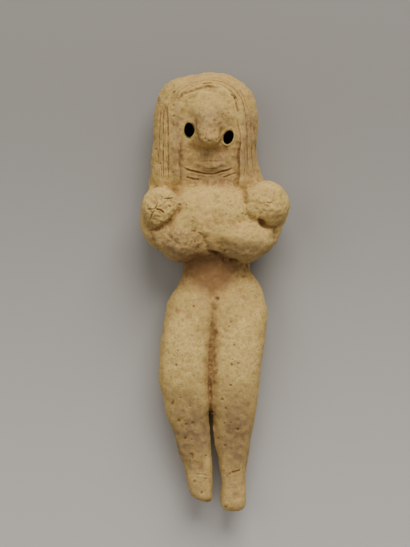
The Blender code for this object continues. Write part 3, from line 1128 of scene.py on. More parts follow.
@dataclass
class EyeHole:
    """A punched oval: its middle, and how far its top leans to the right, in degrees.

    Reaches are in the oval's own half sizes, and depths are in clay millimetres.
    """

    name: str
    across: float
    along: float
    lean: float
    width: float = 2.65
    height: float = 3.9
    floor: float = 9.0
    points: int = 32
    rim_reach: float = 1.3
    rim_width: float = 0.24
    rim_height: float = 0.08
    rim_uneven: float = 0.8
    rim_grain: float = 1.6
    rim_below: float = 1.0
    skin_reach: tuple[float, float] = (1.15, 1.5)
    # How far, and from what depth in, the painted shade fills the hole.
    dark_reach: float = 1.25
    dark_depths: tuple[float, float] = (0.15, 0.9)

    def build(self) -> bpy.types.Object:
        """The stick that punches the hole."""
        lean = math.radians(self.lean)
        outline = []
        for turn in np.linspace(0, 2 * math.pi, self.points, endpoint=False):
            x = self.width / 2 * math.sin(turn)
            y = self.height / 2 * math.cos(turn)
            across = self.across + x * math.cos(lean) + y * math.sin(lean)
            outline.append((across, self.along - x * math.sin(lean) + y * math.cos(lean)))
        return Punch(self.name, outline, self.floor).build()

    def reach(self, places: np.ndarray) -> np.ndarray:
        """How far places lie from the hole's middle, where its edge is 1.

        Args:
            places: The places to judge.

        Returns:
            One value for each place.
        """
        lean = math.radians(self.lean)
        x = places[:, 0] - self.across
        y = places[:, 1] - self.along
        u = (x * math.cos(lean) - y * math.sin(lean)) / (self.width / 2)
        v = (x * math.sin(lean) + y * math.cos(lean)) / (self.height / 2)
        return np.hypot(u, v)

    def mouth_level(self, places: np.ndarray) -> float:
        """How far out the skin round the hole lies.

        Args:
            places: The skin's points.

        Returns:
            The middle value just outside the hole's edge.
        """
        reach = self.reach(places)
        inner, outer = self.skin_reach
        ring = (reach > inner) & (reach < outer) & (places[:, 2] > self.floor)
        return float(np.median(places[ring, 2]))

    def rim(self, places: np.ndarray) -> np.ndarray:
        """The clay that the stick pushed up round the hole.

        Args:
            places: The skin's points.

        Returns:
            A height for each point.
        """
        reach = self.reach(places)
        ring = np.exp(-(((reach - self.rim_reach) / self.rim_width) ** 2))
        uneven = 1.0 + self.rim_uneven * GRAIN.at(places, self.rim_grain, Layer.EYE_RIM)
        outside = places[:, 2] > self.mouth_level(places) - self.rim_below
        return self.rim_height * ring * uneven * outside

    def darkness(self, places: np.ndarray) -> np.ndarray:
        """How deep in the hole places are.

        Args:
            places: The skin's points.

        Returns:
            0 outside the hole, and up to 1 inside it.
        """
        # This share paints the hole near black as its shade, and also keeps the hole's walls from being
        # worked.
        sunk = self.mouth_level(places) - places[:, 2]
        return (self.reach(places) < self.dark_reach) * fade(sunk, *self.dark_depths)


@dataclass
class Face:
    """The head's core with its bulging forehead, beak of a nose, lips and punched eyes."""

    core: RolledForm = field(
        default_factory=lambda: RolledForm(
            "face_core",
            [
                Station(84.0, -10.0, 8.2, 3.0, 12.0),
                Station(90.0, -10.4, 8.4, 3.0, 12.2),
                Station(96.0, -10.8, 8.5, 3.0, 13.0),
                Station(102.0, -11.0, 8.6, 3.0, 14.2),
                Station(108.0, -11.0, 8.6, 3.0, 15.3),
                Station(114.3, -9.8, 7.4, 3.0, 15.2),
            ],
            squareness=0.7, head_round=2.6,
        )
    )
    forehead: Pellet = field(
        default_factory=lambda: Pellet("forehead", (-1.0, 108.4, 9.4), (8.0, 7.4, 6.9), 0.2)
    )
    nose: Coil = field(
        default_factory=lambda: Coil(
            "nose",
            [
                Bead(-1.2, 111.5, 10.8, 4.4),
                Bead(-1.2, 108.2, 12.6, 4.2),
                Bead(-1.1, 105.4, 13.9, 3.9),
                Bead(-1.0, 102.9, 14.9, 3.6),
            ],
        )
    )
    lips: Pellet = field(
        default_factory=lambda: Pellet("lips", (-0.8, 95.2, 13.0), (4.1, 1.0, 0.7))
    )
    eyes: list[EyeHole] = field(
        default_factory=lambda: [
            EyeHole("left_eye", -6.15, 104.3, -8.0),
            EyeHole("right_eye", 4.2, 102.35, 19.0),
        ]
    )

    def marks(self) -> list[Stroke | Dab]:
        """The nose's pinched sides, the lips, the lines across the neck, the worn places, and painted
        shade and highlights.
        """
        neck = (
            (-7.7, 94.3), (-6.4, 93.6), (-4.4, 93.1), (-1.6, 92.5),
            (0.6, 92.5), (2.3, 93.1), (4.1, 93.5), (5.5, 94.2),
        )
        nose_left = (
            (-4.3, 108.0), (-4.7, 105.5), (-4.4, 103.4), (-3.8, 101.8), (-2.9, 100.5), (-1.4, 99.7),
        )
        nose_right = ((1.8, 107.0), (2.3, 104.6), (2.3, 102.6), (1.8, 101.0), (0.6, 99.8))
        return [
            Stroke(neck, half_width=0.23, depth=0.38, burr=0.3, taper=0.12, ragged=0.4, earth_and_shade=0.7),
            Stroke(
                ((-7.1, 91.6), (-5.9, 91.4), (-4.6, 91.0), (-2.9, 91.1)),
                half_width=0.22, depth=0.25, burr=0.3,
            ),
            Stroke(
                ((2.4, 91.4), (3.4, 91.7), (4.4, 92.1), (5.3, 92.5), (6.5, 92.9)),
                half_width=0.2, depth=0.22, burr=0.3,
            ),
            Stroke(
                ((-4.4, 95.8), (-2.5, 95.9), (0.3, 96.0), (2.8, 96.0)),
                half_width=0.24, depth=0.2, earth_and_shade=0.45,
            ),
            Dab(-0.8, 93.9, 3.6, 0.7, height=0.35, edge=2.4),
            Stroke(
                ((-2.2, 94.1), (-0.6, 93.9), (1.5, 94.1)),
                half_width=0.2, depth=0.12, burr=0.1, earth_and_shade=0.4,
            ),
            # The grooves beside the nose hold earth, and the left one also stands as painted shade on
            # that side of the nose.
            Stroke(nose_left, half_width=0.55, depth=0.5, burr=0.1, taper=0.3, ragged=0.3, earth_and_shade=0.35),
            Stroke(nose_right, half_width=0.6, depth=0.3, burr=0.1, taper=0.35, ragged=0.3, earth_and_shade=0.15),
            Dab(-0.9, 101.3, 2.7, 1.3, height=0.55, edge=3.0, earth_and_shade=0.1),
            # Painted shadow under the nose's tip.
            Dab(-0.5, 99.0, 2.4, 0.8, height=-0.25, edge=2.4, earth_and_shade=0.12),
            # A painted highlight down the nose's ridge.
            Dab(-1.1, 106.5, 0.7, 4.5, edge=3.0, pale=0.4, ragged=0.3),
            Dab(-5.2, 99.4, 1.8, 1.6, height=-0.2, earth_and_shade=0.12),
            Dab(3.2, 98.6, 2.0, 1.6, height=-0.15, earth_and_shade=0.12),
            Dab(-1.0, 102.6, 2.8, 2.4, rough=0.2, rough_size=0.7, earth_and_shade=0.2),
            # Painted shade on the nose's left side.
            Dab(-3.0, 103.2, 0.9, 2.6, edge=2.4, smoke_and_shade=0.35, lean=-12.0),
            Dab(-0.7, 90.4, 8.2, 1.1, edge=3.0, rough=0.2, rough_size=1.0, earth_and_shade=0.35),
            # Painted shade on the neck below the chin.
            Dab(-0.7, 91.8, 7.6, 2.4, edge=3.0, smoke_and_shade=0.4, ragged=0.15),
            # A painted highlight on the top of the forehead.
            Dab(-1.0, 111.5, 5.0, 3.0, pale=0.12, ragged=0.3),
            # Painted shade on the left cheek and the lower face, earth and painted shade round the mouth,
            # and painted shade under the brow.
            Dab(-8.2, 96.5, 1.9, 8.5, height=0.45, edge=2.4, smoke_and_shade=0.3, ragged=0.15),
            Dab(1.5, 96.0, 6.2, 5.4, edge=3.0, smoke_and_shade=0.6, ragged=0.15),
            Dab(-1.0, 95.6, 5.5, 1.7, edge=3.0, earth_and_shade=0.12, smoke_and_shade=0.2, ragged=0.2),
            Dab(-1.0, 107.0, 6.8, 2.8, edge=3.0, smoke_and_shade=0.75, ragged=0.3),
            Dab(-1.0, 104.0, 2.6, 3.6, edge=3.0, earth_and_shade=0.15, smoke_and_shade=0.1, ragged=0.3),
            Dab(2.9, 107.0, 2.0, 1.8, rough=0.09, rough_size=0.6, earth_and_shade=0.2),
            *pits(
                (
                    (0.7, 106.6, 0.3), (1.9, 105.8, 0.21), (4.2, 108.7, 0.24), (3.4, 108.0, 0.15),
                    (3.0, 106.9, 0.16), (-1.9, 101.7, 0.25), (-1.7, 102.6, 0.18), (-0.3, 103.1, 0.15),
                    (-1.0, 101.2, 0.16), (0.9, 101.4, 0.18),
                )
            ),
        ]


@dataclass
class Comb:
    """A comb with teeth a little apart, drawn down through the soft hair.

    Its lines waver, and each presses harder in some places than in others, by its lift.
    """

    spacing: float = 0.74
    spread: tuple[float, float] = (0.72, 1.28)
    force: tuple[float, float] = (0.4, 1.15)
    count: int = 64
    half_width: float = 0.18
    waver: float = 0.14
    waver_size: float = 2.4
    waver_stretch: tuple[float, float, float] = (1.0, 0.3, 1.0)
    lift: float = 0.7
    lift_span: tuple[float, float] = (0.2, 1.6)
    lift_places: tuple[float, float, float] = (3.1, 0.2, 0.1)
    seed: int = SEED + 2

    def grooves(self, run: np.ndarray, places: np.ndarray) -> np.ndarray:
        """How strongly the teeth marked each place.

        Args:
            run: How far across the teeth's lines each place lies.
            places: The places.

        Returns:
            0 between the lines, and about 1 in the middle of a strong one.
        """
        draw = np.random.default_rng(self.seed)
        lines = np.cumsum(draw.uniform(*self.spread, self.count)) * self.spacing
        force = draw.uniform(*self.force, self.count)
        stretched = places * self.waver_stretch
        run = run + self.waver * GRAIN.rough(stretched, self.waver_size, Layer.COMB_WAVER)
        after = np.clip(np.searchsorted(lines, run), 1, self.count - 1)
        marked = np.zeros(len(run))
        for line in (after - 1, after):
            spots = np.stack([lines[line], places[:, 1], places[:, 2]], axis=1) * self.lift_places
            lift = np.clip(1.0 + self.lift * GRAIN.at(spots, 1.0, Layer.COMB_LIFT), *self.lift_span)
            groove = np.exp(-(((run - lines[line]) / self.half_width) ** 2))
            marked = np.maximum(marked, force[line] * lift * groove)
        return marked


@dataclass
class Hair:
    """The hood of hair, cut open in front over the face, as an arch.

    A plain band is left beside the opening, on its left, its right and over the crown. The hem is
    where the combing ends, along, for some heights out of the back.
    """

    hood: RolledForm = field(
        default_factory=lambda: RolledForm(
            "hair_hood",
            [
                Station(81.5, -12.5, 9.5, 0.8, 4.4),
                Station(84.5, -14.8, 13.4, 0.2, 8.5),
                Station(88.0, -16.7, 15.1, 0.0, 13.2),
                Station(92.0, -16.6, 13.7, 0.0, 15.0),
                Station(98.0, -16.0, 11.9, 0.0, 15.9),
                Station(104.0, -15.4, 12.1, 0.0, 16.1),
                Station(109.0, -15.3, 12.1, 0.1, 16.1),
                Station(113.0, -14.3, 11.4, 0.7, 15.7),
                Station(116.0, -12.9, 9.9, 1.9, 14.8),
                Station(118.3, -10.3, 7.0, 3.6, 13.3),
                Station(119.9, -5.2, 3.6, 6.4, 10.6),
            ],
            squareness=0.12, foot_round=1.5, head_round=0.3,
        )
    )
    arch_middle: float = -0.95
    arch_half_width: float = 7.9
    arch_spring: float = 107.0
    arch_rise: float = 8.8
    arch_foot: float = 80.0
    arch_floor: float = 8.0
    arch_points: int = 25
    comb: Comb = field(default_factory=Comb)
    front_level: float = 16.0
    back_turn: float = 3.0
    back_run: float = 30.0
    plain_left: float = 2.6
    plain_right: float = 1.1
    plain_crown: float = 0.9
    plain_edge: float = 0.2
    crown_above: float = 5.0
    hem: tuple[tuple[float, ...], tuple[float, ...]] = ((2.0, 5.0, 9.0, 12.0), (82.3, 84.5, 88.5, 90.6))
    hem_soft: float = 1.8
    turn_edge: tuple[float, float] = (0.1, 0.8)

    def lumps(self) -> list[bpy.types.Object]:
        """The hood with its opening."""
        hood = self.hood.build()
        left = self.arch_middle - self.arch_half_width
        right = self.arch_middle + self.arch_half_width
        outline = [(left, self.arch_foot)]
        for angle in np.linspace(math.pi, 0, self.arch_points):
            across = self.arch_middle + self.arch_half_width * math.cos(angle)
            outline.append((across, self.arch_spring + self.arch_rise * math.sin(angle)))
        outline.append((right, self.arch_foot))
        cut(hood, Punch("face_opening", outline, self.arch_floor).build())
        return [hood]

    def beyond_arch(self, places: np.ndarray) -> np.ndarray:
        """How far places lie outside the face's opening, seen from the front.

        Args:
            places: The places to judge.

        Returns:
            One distance for each place, negative inside the opening.
        """
        across = (places[:, 0] - self.arch_middle) / self.arch_half_width
        over = np.maximum(places[:, 1] - self.arch_spring, 0.0) / self.arch_rise
        return (np.hypot(across, over) - 1.0) * self.arch_half_width

    def combing(self, places: np.ndarray) -> np.ndarray:
        """How strongly the comb's teeth marked each place.

        Args:
            places: The skin's points.

        Returns:
            0 where no tooth went, and about 1 in the middle of a strong line.
        """
        beyond = self.beyond_arch(places)
        out = places[:, 2]
        behind = out < self.back_turn
        run = np.where(behind, self.back_run + beyond, beyond + self.front_level - out)
        groove = self.comb.grooves(run, places)
        hem = np.interp(out, *self.hem)
        on_left = places[:, 0] < self.arch_middle
        first = np.where(on_left, self.plain_left, self.plain_right)
        on_crown = places[:, 1] > self.arch_spring + self.crown_above
        first = np.where(on_crown, self.plain_crown, first)
        edge = self.plain_edge
        combed = np.where(behind, 1.0, fade(beyond, first - edge, first + edge))
        above_hem = fade(places[:, 1], hem, hem + self.hem_soft)
        off_turn = fade(np.abs(out - self.back_turn), *self.turn_edge)
        return groove * combed * above_hem * off_turn

    def marks(self) -> list[Stroke | Dab]:
        """The ragged line round the face with its painted shadow, the deepest comb lines and the pits
        beside it.
        """
        rim_left = (
            (-8.8, 112.1), (-8.1, 113.4), (-6.4, 114.4), (-4.6, 115.0),
            (-2.5, 115.7), (-0.5, 116.0), (1.5, 115.6), (2.7, 115.3),
        )
        rim_right = (
            (6.5, 106.7), (6.8, 104.7), (7.2, 102.3), (7.2, 100.2),
            (6.8, 98.4), (6.7, 96.5), (7.0, 94.9), (6.7, 93.3),
        )
        return [
            # The line round the face holds earth and the painted shadow that the hair's edge casts on the
            # face.
            Stroke(rim_left, half_width=0.38, depth=0.22, burr=0.1, ragged=0.6, earth_and_shade=0.5),
            Stroke(((-2.9, 116.7), (-1.4, 116.9), (0.2, 116.9)), half_width=0.2, depth=0.12, earth_and_shade=0.4),
            Stroke(
                ((4.6, 114.4), (5.8, 113.1), (6.2, 111.7), (6.5, 110.2), (6.8, 108.7)),
                half_width=0.28, depth=0.3, ragged=1.0, earth_and_shade=0.6,
            ),
            Stroke(rim_right, half_width=0.25, depth=0.38, burr=0.2, taper=0.12, ragged=0.9, earth_and_shade=0.7),
            Stroke(
                ((-9.1, 107.5), (-9.2, 103.1), (-9.2, 99.0), (-8.3, 97.1), (-7.7, 94.9)),
                half_width=0.45, depth=0.14, ragged=0.9, earth_and_shade=0.25,
            ),
            Stroke(
                ((-11.4, 112.6), (-11.8, 110.4), (-11.7, 105.5), (-11.6, 98.7), (-11.6, 91.1)),
                half_width=0.18, depth=0.24, burr=0.25, ragged=0.6, earth_and_shade=0.45,
            ),
            Stroke(
                ((-12.6, 111.3), (-12.9, 108.3), (-12.9, 101.5), (-13.0, 96.0), (-12.9, 90.5)),
                half_width=0.18, depth=0.24, burr=0.25, ragged=0.6, earth_and_shade=0.42,
            ),
            Stroke(
                ((-13.5, 111.3), (-13.9, 107.5), (-14.1, 101.5), (-14.3, 94.6)),
                half_width=0.16, depth=0.18, earth_and_shade=0.4,
            ),
            Stroke(
                ((-1.9, 118.8), (1.1, 118.5), (4.1, 117.4), (6.5, 115.6), (8.3, 113.2), (9.3, 110.2)),
                half_width=0.16, depth=0.09, earth_and_shade=0.15,
            ),
            Stroke(
                ((0.3, 118.0), (3.0, 117.3), (5.2, 115.9), (7.1, 113.7), (8.2, 111.0), (8.5, 106.9)),
                half_width=0.16, depth=0.08, earth_and_shade=0.12,
            ),
            Dab(-12.1, 110.2, 0.35, 0.9, earth_and_shade=0.8),
            Dab(-10.2, 114.6, 0.5, 0.25, height=-0.3, lean=-35.0, earth_and_shade=0.8),
            Dab(-9.8, 101.0, 1.8, 12.0, edge=4.0, earth_and_shade=0.1, smoke_and_shade=0.5, ragged=0.15),
            Dab(9.8, 100.0, 3.0, 11.0, edge=4.0, smoke_and_shade=0.6, ragged=0.15),
            Stroke(
                ((8.7, 109.5), (9.1, 104.0), (9.2, 98.0), (9.4, 93.5)),
                half_width=0.17, depth=0.16, earth_and_shade=0.3,
            ),
            Stroke(
                ((9.9, 108.5), (10.3, 103.0), (10.4, 97.5), (10.7, 93.0)),
                half_width=0.17, depth=0.18, earth_and_shade=0.3,
            ),
            Stroke(((11.0, 106.0), (11.4, 101.5), (11.6, 96.5)), half_width=0.15, depth=0.14, earth_and_shade=0.25),
            *pits(
                (
                    (-10.3, 111.0, 0.21), (-10.2, 108.0, 0.34), (-10.3, 105.7, 0.27), (-8.5, 110.0, 0.18),
                    (-10.4, 92.8, 0.22), (-13.8, 95.3, 0.25), (-14.8, 99.4, 0.22), (-15.2, 97.1, 0.18),
                )
            ),
        ]


@dataclass
class Figurine:
    """The whole figure, from the first rolled lump to the fitted and fired piece.

    The passes are how often each join is smoothed. The tint amount says how much earth and smoke the
    comb's lines hold and how far the hollows darken with earth and painted shade, and the wear how pale
    the ridges are, both by small forms and by broad ones.
    """

    trunk: Trunk = field(default_factory=Trunk)
    arms: Arms = field(default_factory=Arms)
    breasts: Breasts = field(default_factory=Breasts)
    face: Face = field(default_factory=Face)
    hair: Hair = field(default_factory=Hair)
    pitting: Pitting = field(default_factory=Pitting)
    uneven: tuple[tuple[float, float], ...] = (
        (9.0, 0.25), (4.0, 0.19), (1.8, 0.13), (0.9, 0.08),
    )
    coarser_above: float = 0.4
    waist: tuple[float, float] = (60.0, 70.0)
    comb_depth: float = 0.17
    rest_rub: float = 0.5
    clean_rim: float = 0.05
    body_passes: int = 24
    arm_passes: int = 14
    pressed_passes: int = 5
    finish_passes: int = 3
    small_reach: int = 4
    small_depth: float = 0.05
    broad_reach: int = 40
    broad_depth: float = 0.5
    tint_amount: float = 0.35
    small_wear: float = 0.2
    broad_wear: float = 0.4

    def assemble(self) -> bpy.types.Object:
        """The lumps luted together, with the eyes punched."""
        face = self.face
        core = [face.core.build(), face.forehead.build()]
        body = lute("body", self.trunk.lumps() + core, Grid.ROUGH, self.body_passes)
        arms = [body, *self.arms.lumps(), face.nose.build()]
        body = lute("body", arms, Grid.ROUGH, self.arm_passes)
        pressed_on = [*self.hair.lumps(), *self.breasts.lumps(), face.lips.build()]
        body = lute("body", [body, *pressed_on], Grid.FINE, self.pressed_passes)
        for tool in (self.trunk.gap, *face.eyes):
            cut(body, tool.build())
        return lute("body", [body], Grid.FINISH, self.finish_passes)

    def marks(self) -> list[Stroke | Dab]:
        """Every mark on the figure, part by part."""
        parts = (self.trunk, self.arms, self.breasts, self.face, self.hair)
        return [mark for part in parts for mark in part.marks()]

    def touches(self, skin: Skin) -> Touch:
        """What all the marks do together.

        Args:
            skin: The skin that they are on.

        Returns:
            The effect on every point of the skin.
        """
        totals = [np.zeros(skin.count) for _ in range(4)]
        for mark in self.marks():
            touch = mark.touch(skin.places)
            parts = (touch.height, touch.earth_and_shade, touch.pale, touch.smoke_and_shade)
            for total, part in zip(totals, parts):
                total[touch.points] += part
        return Touch(np.arange(skin.count), *totals)

    def work(self, clay: bpy.types.Object) -> None:
        """Handles, combs, incises and wears the joined clay.

        Args:
            clay: The assembled clay.
        """
        skin = Skin(clay)
        holes = sum(eye.darkness(skin.places) for eye in self.face.eyes)
        uneven = sum(
            height * GRAIN.at(skin.places, size, Layer.HANDLING + k)
            for k, (size, height) in enumerate(self.uneven)
        )
        coarser = 1.0 + self.coarser_above * fade(skin.places[:, 1], *self.waist)
        skin.move_out(uneven * coarser * (1.0 - holes))
        rims = sum(eye.rim(skin.places) for eye in self.face.eyes)
        combed = self.comb_depth * self.hair.combing(skin.places)
        skin.move_out(rims - combed)
        touch = self.touches(skin)
        skin.move_out(touch.height * (1.0 - holes))
        self.pitting.scatter(skin)
        skin.move_out(self.pitting.press(skin)[0] * (1.0 - holes))

    def paint_skin(self, clay: bpy.types.Object) -> None:
        """Stores earth with painted shade, wear with painted highlights, smoke with painted shade and the
        painted shade of the eye holes as attributes.

        Args:
            clay: The thinned clay, still in clay millimetres.
        """
        skin = Skin(clay)
        touch = self.touches(skin)
        fine = np.clip(skin.hollowness(self.small_reach) / self.small_depth, -1.0, 1.0)
        broad = np.clip(skin.hollowness(self.broad_reach) / self.broad_depth, -1.0, 1.0)
        combed = self.hair.combing(skin.places)
        pitted = self.pitting.press(skin)[1]
        smoke_and_shade = touch.smoke_and_shade + self.tint_amount * combed
        earth_and_shade = touch.earth_and_shade + self.tint_amount * combed + pitted
        # Hollows darken by how far they lie below their surroundings, at a small and a broad reach:
        # partly earth settled in them, partly painted shade for the light that hollows lose.
        earth_and_shade += self.tint_amount * np.maximum(fine, 0.0) + self.tint_amount * np.maximum(broad, 0.0)
        pale = touch.pale + self.small_wear * np.maximum(-fine, 0.0)
        pale += self.broad_wear * np.maximum(-broad, 0.0)
        rims = sum(eye.rim(skin.places) for eye in self.face.eyes)
        pale *= 1.0 - np.clip(rims / self.clean_rim, 0.0, 1.0)
        # Painted shade in the eye holes.
        painted_hole_shade = sum(eye.darkness(skin.places) for eye in self.face.eyes)
        for name, values in (("earth_and_shade", earth_and_shade), ("pale", pale), ("smoke_and_shade", smoke_and_shade), ("painted_hole_shade", painted_hole_shade)):
            layer = clay.data.attributes.new(name, "FLOAT", "POINT")
            layer.data.foreach_set("value", np.clip(values, 0.0, 1.0))

    def rub_back(self, clay: bpy.types.Object) -> None:
        """Rubs the back down to one plane where it is lowest.

        Args:
            clay: The worked clay.
        """
        plane = min(vert.co.z for vert in clay.data.vertices) + self.rest_rub
        for vert in clay.data.vertices:
            vert.co.z = max(vert.co.z, plane)

    def thin_out(self, clay: bpy.types.Object) -> None:
        """Brings the mesh down to the most triangles it may have.

        Args:
            clay: The worked clay.
        """
        count = sum(len(face.vertices) - 2 for face in clay.data.polygons)
        if count > MOST_TRIANGLES:
            decimate = clay.modifiers.new("thin_out", "DECIMATE")
            decimate.ratio = MOST_TRIANGLES / count
            decimate.use_collapse_triangulate = True
            apply_modifiers(clay)

    def fit(self, clay: bpy.types.Object) -> None:
        """Fits the clay to its place in the frame.

        Args:
            clay: The worked clay, in clay millimetres.
        """
        low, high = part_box(NODE)
        count = len(clay.data.vertices)
        places = np.empty(count * 3)
        clay.data.vertices.foreach_get("co", places)
        places = places.reshape(count, 3)
        clay_low = places.min(axis=0)
        clay_high = places.max(axis=0)
        share = (places - clay_low) / (clay_high - clay_low)
        fitted = np.array(low) + share * (np.array(high) - np.array(low))
        clay.data.vertices.foreach_set("co", fitted.ravel())
        clay.data.update()

    def build(self) -> bpy.types.Object:
        """The finished piece, in its place in the frame."""
        clay = self.assemble()
        log.info("assembled: %d faces", len(clay.data.polygons))
        self.work(clay)
        log.info("worked: combed, incised, pitted")
        self.rub_back(clay)
        self.thin_out(clay)
        self.paint_skin(clay)
        self.fit(clay)
        clay.name = "figurine_clay"
        clay.data.name = "figurine_clay"
        make_active(clay)
        bpy.ops.object.shade_smooth()
        clay.data.materials.clear()
        clay.data.materials.append(FiredClay().material())
        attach(clay, BODY)
        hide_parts(NODE)
        return clay


Colour = tuple[float, float, float, float]
Tint = tuple[float, float, float]


@dataclass(frozen=True)
class Cloud:
    """Cloudy patches: how wide they are in metres, how many finer sizes they hold and how strong.

    Values of the noise from low to high become values from least to most.
    """

    size: float
    detail: float
    roughness: float
    low: float
    high: float
    most: float = 1.0
    least: float = 0.0


class NodeBoard:
    """Adds and joins the nodes of one material."""

    first_colour: int = 6
    second_colour: int = 7
    mixed_colour: int = 2

    def __init__(self, name: str) -> None:
        """Starts a material.

        Args:
            name: The material's name.
        """
        self.material = bpy.data.materials.new(name)
        self.material.use_nodes = True
        self.tree = self.material.node_tree
        self.shader = self.tree.nodes["Principled BSDF"]
        self.place = self.add("ShaderNodeTexCoord").outputs["Object"]

    def add(self, kind: str, **settings: object) -> bpy.types.Node:
        """Adds a node.

        Args:
            kind: The node's type.
            **settings: Its properties.

        Returns:
            The node.
        """
        node = self.tree.nodes.new(kind)
        for name, value in settings.items():
            setattr(node, name, value)
        return node

    def feed(self, socket: bpy.types.NodeSocket, source: object) -> None:
        """Links an output to a socket, or sets a plain value on it.

        Args:
            socket: The socket.
            source: An output socket, a number or a colour.
        """
        if isinstance(source, bpy.types.NodeSocket):
            self.tree.links.new(source, socket)
        else:
            socket.default_value = source

    def noise(self, size: float, detail: float, roughness: float) -> bpy.types.NodeSocket:
        """Cloudy values between 0 and 1.

        Args:
            size: How wide one cloud is, in metres.
            detail: How many finer sizes are worked in.
            roughness: How strong the finer ones are.

        Returns:
            The values.
        """
        node = self.add("ShaderNodeTexNoise")
        self.feed(node.inputs["Vector"], self.place)
        self.feed(node.inputs["Scale"], 1.0 / size)
        self.feed(node.inputs["Detail"], detail)
        self.feed(node.inputs["Roughness"], roughness)
        return node.outputs["Fac"]

    def cloud(self, cloud: Cloud) -> bpy.types.NodeSocket:
        """The amounts of some cloudy patches.

        Args:
            cloud: The patches.

        Returns:
            The amounts.
        """
        noise = self.noise(cloud.size, cloud.detail, cloud.roughness)
        return self.ramp(noise, cloud.low, cloud.high, cloud.least, cloud.most)

    def spots(self, size: float) -> tuple[bpy.types.NodeSocket, bpy.types.NodeSocket]:
        """Scattered cells.

        Args:
            size: How far apart the cells are, in metres.

        Returns:
            The distance from each cell's middle, in cells, and a value that each cell has of its own.
        """
        node = self.add("ShaderNodeTexVoronoi")
        self.feed(node.inputs["Vector"], self.place)
        self.feed(node.inputs["Scale"], 1.0 / size)
        own = self.add("ShaderNodeSeparateColor")
        self.feed(own.inputs["Color"], node.outputs["Color"])
        return node.outputs["Distance"], own.outputs["Red"]

    def tint_amount(self, name: str) -> bpy.types.NodeSocket:
        """The amounts that one of the skin's attributes holds.

        Args:
            name: The attribute.

        Returns:
            The amounts.
        """
        return self.add("ShaderNodeAttribute", attribute_name=name).outputs["Fac"]

    def ramp(
        self, source: bpy.types.NodeSocket, low: float, high: float, start: float = 0.0, end: float = 1.0
    ) -> bpy.types.NodeSocket:
        """Maps values smoothly from one span to another.

        Args:
            source: The values.
            low: The value that becomes start.
            high: The value that becomes end.
            start: The first result.
            end: The last result.

        Returns:
            The mapped values.
        """
        node = self.add("ShaderNodeMapRange", interpolation_type="SMOOTHSTEP")
        for name, value in (("Value", source), ("From Min", low), ("From Max", high)):
            self.feed(node.inputs[name], value)
        self.feed(node.inputs["To Min"], start)
        self.feed(node.inputs["To Max"], end)
        return node.outputs["Result"]

    def sum(self, kind: str, first: object, second: object) -> bpy.types.NodeSocket:
        """One step of arithmetic, kept between 0 and 1.

        Args:
            kind: The operation, such as MULTIPLY.
            first: The first value.
            second: The second value.

        Returns:
            The result.
        """
        node = self.add("ShaderNodeMath", operation=kind, use_clamp=True)
        self.feed(node.inputs[0], first)
        self.feed(node.inputs[1], second)
        return node.outputs["Value"]

    def mix(self, share: object, first: object, second: object) -> bpy.types.NodeSocket:
        """Mixes two colours.

        Args:
            share: How much of the second colour there is.
            first: The first colour.
            second: The second colour.

        Returns:
            The mixed colour.
        """
        node = self.add("ShaderNodeMix", data_type="RGBA")
        self.feed(node.inputs["Factor"], share)
        self.feed(node.inputs[self.first_colour], first)
        self.feed(node.inputs[self.second_colour], second)
        return node.outputs[self.mixed_colour]


